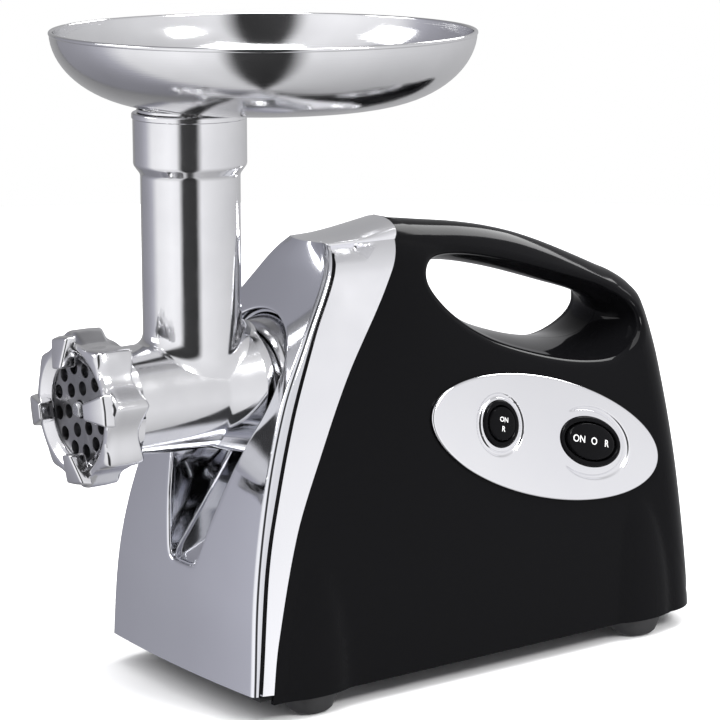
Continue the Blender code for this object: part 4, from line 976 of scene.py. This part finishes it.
edgeTurn = math.pi / 2 - 0.035
outside, inside = traySide(0.3, edgeTurn), traySide(0.3 + tray["thick"], edgeTurn)
beadCentre = (tray["radius"] - tray["bead"], tray["rimZ"] - tray["bead"])
beadTurn = np.linspace(-math.pi / 2, math.pi * 1.02, 16)
bead = [(beadCentre[0] + tray["bead"] * math.cos(a), beadCentre[1] + tray["bead"] * math.sin(a)) for a in beadTurn]
profile = [(0.0, tray["floorZ"] + 0.2), (26.0, tray["floorZ"] + 0.2)] + outside + bead + inside[::-1] + \
          [(26.0, tray["floorZ"] + 0.3 + tray["thick"]), (0.0, tray["floorZ"] + 0.3 + tray["thick"])]
dish = turned("feedTray", profile, "Z", (0, tray["centreY"]), 160)
bpy.ops.object.select_all(action="DESELECT")
bpy.ops.mesh.primitive_cylinder_add(vertices=96, radius=23.2, depth=30, location=(0, 0, tray["floorZ"]))
cutAway(dish, newest("mouthHole"))
spigotLine = rounded([(21.6, 275.0, 0.3), (23.1, 275.0, 0.3), (23.6, 290.4, 1.0), (25.6, 291.1, 0.3),
                      (25.6, 292.6, 0.8), (21.6, 292.4, 1.6)], 4)
spigot = turned("traySpigot", spigotLine, "Z", (0, 0), 96)
settle(dish, spunPolish, "tray", "tray_aluminium", "tray", angle=40)
settle(spigot, spunPolish, "tray", "tray_aluminium", "tray", angle=40)
print("head and tray made")


# ring nut with its flutes and gripping lugs
nut = {"front": -68.0, "back": -47.0, "radius": 38.0, "opening": 24.5, "flutes": 8, "flute": 5.2,
       "turn": math.radians(10), "lugAngles": (10, 100, 190, 280)}


def nutSheet(columns=256):
    rows = []
    turn = np.linspace(0, 2 * np.pi, columns + 1)
    # wide concave flutes between narrow ridges; they run out towards the back, so the rear edge waves
    wave = (0.5 - 0.5 * np.cos(nut["flutes"] * (turn - nut["turn"]))) ** 0.62

    def row(radius, y, share):
        r = radius - nut["flute"] * share * wave
        rows.append(np.stack([r * np.cos(turn), np.zeros_like(turn) + y, headZ + r * np.sin(turn)], -1))

    opening, front, back, radius = nut["opening"], nut["front"], nut["back"], nut["radius"]
    for r, y, share in ((30.6, back + 1.0, 0), (30.6, -52.0, 0), (30.6, -63.9, 0), (opening + 0.2, -64.3, 0),
                        (opening, -64.9, 0), (opening + 0.3, -65.6, 0), (28.6, -67.2, 0), (29.4, front - 0.35, 0),
                        (30.2, front - 0.7, 0), (31.2, front - 0.7, 0), (33.6, front - 0.35, 0.15), (35.6, front, 0.55),
                        (36.9, front + 0.9, 0.85), (37.6, front + 2.2, 0.98)):
        row(r, y, share)
    for y in np.linspace(front + 4, back - 8, 6):
        row(radius, y, 1.0)
    rearWave = 3.2 * wave
    for t in np.linspace(0, 1, 7)[1:]:
        row(radius - 0.4 * t, (back - 8) + (8 - 1.6) * t - rearWave * t, 1.0 - 0.1 * t)
    row(radius - 1.2, back - 0.6 - rearWave, 0.88)
    row(radius - 2.6, back - rearWave, 0.8)
    row(32.0, back, 0.0)
    rows.append(rows[0])
    return np.array(rows)


nutRing = formSheet("nutRing", nutSheet())
lug = {"inner": 20.5, "outer": 36.4, "half": 8.4, "reach": 7.0, "root": 2.0, "bevel": 1.3}


def lugBlock():
    # a wedge: tall and thick at the rim, falling away towards the opening
    outlinePoints = [(lug["inner"], -lug["half"] + 4.0), (lug["outer"] - 0.6, -lug["half"]), (lug["outer"], 0.0),
                     (lug["outer"] - 0.6, lug["half"]), (lug["inner"], lug["half"] - 4.0)]
    piece = prism("nutLugFirst", outlinePoints, lug["reach"] + lug["root"],
                  Matrix(((1, 0, 0, 0), (0, 0, -1, nut["front"] + lug["root"]), (0, 1, 0, headZ), (0, 0, 0, 1))))
    front = nut["front"] - lug["reach"] + 0.1
    for vertex in piece.data.vertices:
        if vertex.co.y < front + 0.5:
            outward = (vertex.co.x - lug["inner"]) / (lug["outer"] - lug["inner"])
            vertex.co.y += 3.4 * outward  # the top falls away to the rim
            vertex.co.z = headZ + (vertex.co.z - headZ) * 0.9
            vertex.co.x -= 1.2 * outward
    weld(piece, 0.001)
    return softened(piece, lug["bevel"], 4, 25)


firstLug = lugBlock()
lugs = []
for k, angle in enumerate(nut["lugAngles"]):
    pick(firstLug)
    bpy.ops.object.duplicate()
    one = newest("nutLug" + str(k + 1))
    one.data.transform(Matrix.Translation((0, 0, headZ)) @ Matrix.Rotation(-math.radians(angle), 4, "Y")
                       @ Matrix.Translation((0, 0, -headZ)))
    lugs.append(one)
bpy.data.objects.remove(firstLug, do_unlink=True)
settle(nutRing, castPolish, "nut", "polished_aluminium", "ring_nut", angle=42)
for one in lugs:
    settle(one, castPolish, "nut", "polished_aluminium", "ring_nut", angle=42)

# cutting plate, with its round holes
plate = {"radius": 27.0, "front": -64.1, "back": -59.1, "hole": 3.5, "rows": ((6, 11.0), (12, 20.3)), "bore": 4.4}
plateLine = rounded([(plate["bore"], plate["front"], 0.4), (plate["radius"], plate["front"], 0.5),
                     (plate["radius"], plate["back"], 0.5), (plate["bore"], plate["back"], 0.4)], 3)
disc = turned("plateDisc", plateLine, "Y", (0, headZ), 128)
drills = []
for count, ring in plate["rows"]:
    for k in range(count):
        angle = math.radians(15) + 2 * math.pi * k / count
        bpy.ops.object.select_all(action="DESELECT")
        bpy.ops.mesh.primitive_cylinder_add(vertices=32, radius=plate["hole"], depth=20,
                                            location=(ring * math.cos(angle), -61, headZ + ring * math.sin(angle)),
                                            rotation=(math.pi / 2, 0, 0))
        bpy.ops.object.transform_apply(location=True, rotation=True, scale=True)
        drills.append(newest("drill"))
merged(drills[0], *drills[1:])
cutAway(disc, drills[0])
softened(disc, 0.25, 2, 50)
settle(disc, plateSteel, "plate", "tool_steel", "cutting_plate", angle=35)

# feed screw and its knife
screw = {"reach": 21.2, "turns": 3.1, "start": -46.5, "length": 74.0}
core = turned("screwCore", rounded([(0, -50.6), (9.5, -50.6, 0.8), (8.0, -44.0, 3), (9.5, 20.0, 8), (12.0, 32.0, 2),
                                    (12.0, 35.5, 0.4), (9.6, 35.5), (9.6, 47.0, 0.5), (0, 47.0)]), "Y", (0, headZ), 64)
steps = 280
sweep = np.linspace(0, 2 * np.pi * screw["turns"], steps + 1)
along = screw["start"] + screw["length"] * (np.arange(steps + 1) / steps) ** 0.9
section = rounded([(6.5, -2.6), (screw["reach"], -1.7, 0.9), (screw["reach"], 1.7, 0.9), (6.5, 2.6)], 4)
flightRows = [np.stack([np.cos(sweep) * r, along + w, headZ + np.sin(sweep) * r], -1) for r, w in section]
flightRows.append(flightRows[0])
flight = rimsFilled(formSheet("screwFlight", np.array(flightRows)))
hub = turned("screwHub", rounded([(0, -66.8), (2.9, -66.8, 0.9), (3.9, -65.6, 0.3), (3.9, -58.0), (0, -58.0)]), "Y",
             (0, headZ), 48)
square = prism("screwSquare", [(4, -4), (4, 4), (-4, 4), (-4, -4)], 11.0,
               Matrix(((1, 0, 0, 0), (0, 0, 1, -58.9), (0, -1, 0, headZ), (0, 0, 0, 1))))
cornerRadius = 5.77  # a hexagon 10 mm across its flats
corners = [(cornerRadius * math.cos(k * math.pi / 3), cornerRadius * math.sin(k * math.pi / 3)) for k in range(6)]
hexagon = prism("screwDrive", corners, 14.5,
                Matrix(((1, 0, 0, 0), (0, 0, 1, 46.0), (0, -1, 0, headZ), (0, 0, 0, 1))))
for piece in (core, flight, square):
    settle(piece, castPolish, "auger", "polished_aluminium", "auger")
for piece in (hub, softened(hexagon, 0.5, 2)):
    settle(piece, turnedSteel, "auger", "polished_aluminium", "auger")
print("nut, plate and screw made")


# drive socket's domed collar, release button, feet, gland and screws
socketLine = rounded([(26.7, 36.0, 0.5), (28.4, 34.4, 0.8), (31.4, 36.8, 4.0), (33.7, 45.5, 2.0), (33.9, 59.2),
                      (26.7, 59.2)], 8)
socket = turned("socketDome", socketLine, "Y", (0, headZ), 120)
settle(socket, makeFinish("socketGrey", (0.62, 0.62, 0.635), 1.0, (0.16, 0.24), 60, (0.52, 0.52, 0.535), 30,
                          skin={"Grain": 700.0, "Wave": 60.0, "Share": 0.3}, bump=0.1),
       "body", "chrome_plastic", "socket_collar")

releaseX, releaseZ = -43.0, 137.0
releaseFace = float(readCurve(frontEdge, releaseZ)) - 6.0
buttonLine = rounded([(0, releaseFace), (4.6, releaseFace, 1.4), (5.8, releaseFace + 1.6, 0.6),
                      (5.8, releaseFace + 17.0), (0, releaseFace + 17.0)])
settle(turned("releaseKnob", buttonLine, "Y", (releaseX, releaseZ), 64), blackSatin, "release", "black_satin",
       "release_button")


def footSheet(columns=56):
    turn = np.linspace(0, 2 * np.pi, columns + 1)

    def bulge(value):
        return np.sign(value) * np.abs(value) ** (2 / 2.4)

    rows = []
    for halfX, halfY, z in ((0, 0, 0.25), (6.6, 7.1, 0.25), (7.0, 7.5, 0.0), (7.5, 8.0, 0.0), (8.1, 8.6, 0.25),
                            (9.2, 9.7, 1.0), (10.5, 11.0, 2.2), (11.4, 12.6, 5.4), (12.3, 14.2, 9.4),
                            (12.5, 14.5, 10.0), (0, 0, 10.0)):
        rows.append(np.stack([halfX * bulge(np.cos(turn)), halfY * bulge(np.sin(turn)), np.full_like(turn, z)], -1))
    return np.array(rows)


firstFoot = formSheet("footFirst", footSheet())
for y, rowName in ((28.0, "front"), (241.0, "rear")):
    for side, hand in ((-1, "left"), (1, "right")):
        pick(firstFoot)
        bpy.ops.object.duplicate()
        foot = newest(rowName + hand.capitalize() + "Pad")
        foot.data.transform(Matrix.Translation((side * 58.0, y, 0)))
        settle(foot, rubber, "body", "rubber", rowName + "_" + hand + "_foot")
bpy.data.objects.remove(firstFoot, do_unlink=True)

glandLine = rounded([(3.2, 278.0, 0.3), (5.5, 278.0, 0.4), (5.5, 285.6), (8.5, 285.6, 0.3), (8.5, 287.0, 0.5),
                     (5.6, 288.5, 0.6), (3.2, 288.5, 0.5)], 3)
settle(turned("cordGland", glandLine, "Y", (0, 30.0), 64), rubber, "body", "rubber", "cord_gland")

screwLine = rounded([(0, 9.2), (0.9, 9.2), (1.2, 7.7, 0.2), (2.9, 7.7, 0.4), (3.9, 8.9, 0.3), (3.9, 10.0), (1.9, 10.0),
                     (1.9, 26.0, 0.4), (0, 27.4)], 3)
for k, (side, y) in enumerate((s, y) for s in (-1, 1) for y in (60.0, 262.0)):
    settle(turned("baseScrew" + str(k + 1), screwLine, "Z", (side * 50.0, y), 40), turnedSteel, "body", "tool_steel",
           "base_screw_" + str(k + 1))
print("small pieces made")


# floor, light and camera
bpy.ops.object.select_all(action="DESELECT")
bpy.ops.mesh.primitive_circle_add(vertices=96, radius=1.6, fill_type="NGON", location=(0, 0, 0))
floor = newest("studioFloor")
floorPaper = makeFinish("floorPaper", (0.93, 0.93, 0.93), 0.0, (0.55, 0.65), 2, (0.915, 0.915, 0.915), 1.5,
                        skin={"Grain": 300.0, "Wave": 3.0, "Share": 0.3}, bump=0.02)
paper = floorPaper.node_tree  # gloss looks past the paper to the soft surround, as on a raised glass table
ray, clear = node(paper, "ShaderNodeLightPath"), node(paper, "ShaderNodeBsdfTransparent")
through = node(paper, "ShaderNodeMixShader")
wire(paper, (ray, "Is Glossy Ray", through, 0), (paper.nodes["Principled BSDF"], 0, through, 1),
     (clear, 0, through, 2), (through, 0, paper.nodes["Material Output"], "Surface"))
floor.data.materials.append(floorPaper)

camera = bpy.data.objects.new("viewCamera", bpy.data.cameras.new("viewCamera"))
bpy.context.scene.collection.objects.link(camera)
camera.data.lens, camera.data.sensor_width = 135.27, 36
camera.location = (1.09376, -0.80606, 0.43956)
camera.rotation_euler = (math.radians(78.2), 0, math.radians(53.756))
bpy.context.scene.camera = camera
bpy.context.scene.view_settings.view_transform = "Standard"

studio = {"bright": 1.5, "lights": (("keyPanel", (1.6, 0.5, 1.5), 26, 0.5), ("leftPanel", (-0.9, -1.5, 1.3), 12, 0.9),
                                    ("topPanel", (0.1, 0.1, 2.3), 34, 1.2), ("backPanel", (-0.6, 1.8, 1.5), 16, 0.8))}
for name, place, power, size in studio["lights"]:
    lamp = bpy.data.objects.new(name, bpy.data.lights.new(name, "AREA"))
    bpy.context.scene.collection.objects.link(lamp)
    lamp.data.energy, lamp.data.size = power, size
    lamp.location = place
    lamp.rotation_euler = (Vector((0, 0, 0.15)) - Vector(place)).to_track_quat("-Z", "Y").to_euler()
    lamp.data.specular_factor = 0.6

sun = bpy.data.objects.new("ceilingGlow", bpy.data.lights.new("ceilingGlow", "SUN"))
bpy.context.scene.collection.objects.link(sun)
sun.data.energy, sun.data.angle = 2.4, 1.3  # a wide even glow, so the paper stays white to its edge
sun.visible_glossy = False

world = bpy.data.worlds.new("softStudio")
bpy.context.scene.world = world
world.use_nodes = True
sky = world.node_tree
sky.nodes.clear()
toward = node(sky, "ShaderNodeTexCoord")
axes = node(sky, "ShaderNodeSeparateXYZ")
bearing = node(sky, "ShaderNodeMath", operation="ARCTAN2")
turnShare = node(sky, "ShaderNodeMapRange", {"From Min": -math.pi, "From Max": math.pi})
panels = node(sky, "ShaderNodeValToRGB")
lift = node(sky, "ShaderNodeMapRange", {"From Min": -1.0, "From Max": 1.0})
liftRamp = node(sky, "ShaderNodeValToRGB")
blend = node(sky, "ShaderNodeMix", data_type="RGBA", blend_type="MULTIPLY")
blend.inputs[0].default_value = 1.0
rayKind = node(sky, "ShaderNodeLightPath")
seen = node(sky, "ShaderNodeBackground", {"Color": (1.0, 1.0, 1.0, 1), "Strength": 1.0})
cast = node(sky, "ShaderNodeBackground", {"Strength": studio["bright"]})
choose = node(sky, "ShaderNodeMixShader")
output = node(sky, "ShaderNodeOutputWorld")
# bearings run from -180 to 180 degrees, with 0 towards +X, which the switches face; the camera stands at about -36
bearingStops = ((-180, 0.21), (-158, 0.24), (-145, 0.28), (-132, 0.37), (-116, 0.70), (-78, 0.81), (-60, 0.75),
                (-50, 0.04), (-20, 0.03), (-8, 0.72), (6, 1.00), (66, 1.00), (84, 0.34), (98, 0.08),
                (140, 0.07), (180, 0.21))
heightStops = ((0.0, 0.62), (0.3, 0.9), (0.42, 1.0), (0.6, 1.0), (0.8, 0.95), (1.0, 0.8))  # nadir to zenith


def fillRamp(ramp, stops):
    for k, (position, colour) in enumerate(stops):
        stop = ramp.elements[k] if k < 2 else ramp.elements.new(0.5)
        stop.position = position
    for stop, (position, colour) in zip(sorted(ramp.elements, key=lambda e: e.position), stops):
        stop.color = (*colour, 1)


# slightly blue behind the left, where the front face looks
fillRamp(panels.color_ramp, [((angle + 180) / 360, (value * 0.985, value * 0.985,
                                                    value * (1.10 if angle < -120 else 1.01)))
                             for angle, value in bearingStops])
fillRamp(liftRamp.color_ramp, [(position, (value,) * 3) for position, value in heightStops])
wire(sky, (toward, "Generated", axes, 0), (axes, "Y", bearing, 0), (axes, "X", bearing, 1),
     (bearing, 0, turnShare, "Value"), (turnShare, 0, panels, 0), (axes, "Z", lift, "Value"), (lift, 0, liftRamp, 0),
     (panels, 0, blend, 6), (liftRamp, 0, blend, 7), (blend, 2, cast, "Color"), (rayKind, "Is Camera Ray", choose, 0),
     (cast, 0, choose, 1), (seen, 0, choose, 2), (choose, 0, output, 0))

bpy.context.view_layer.update()
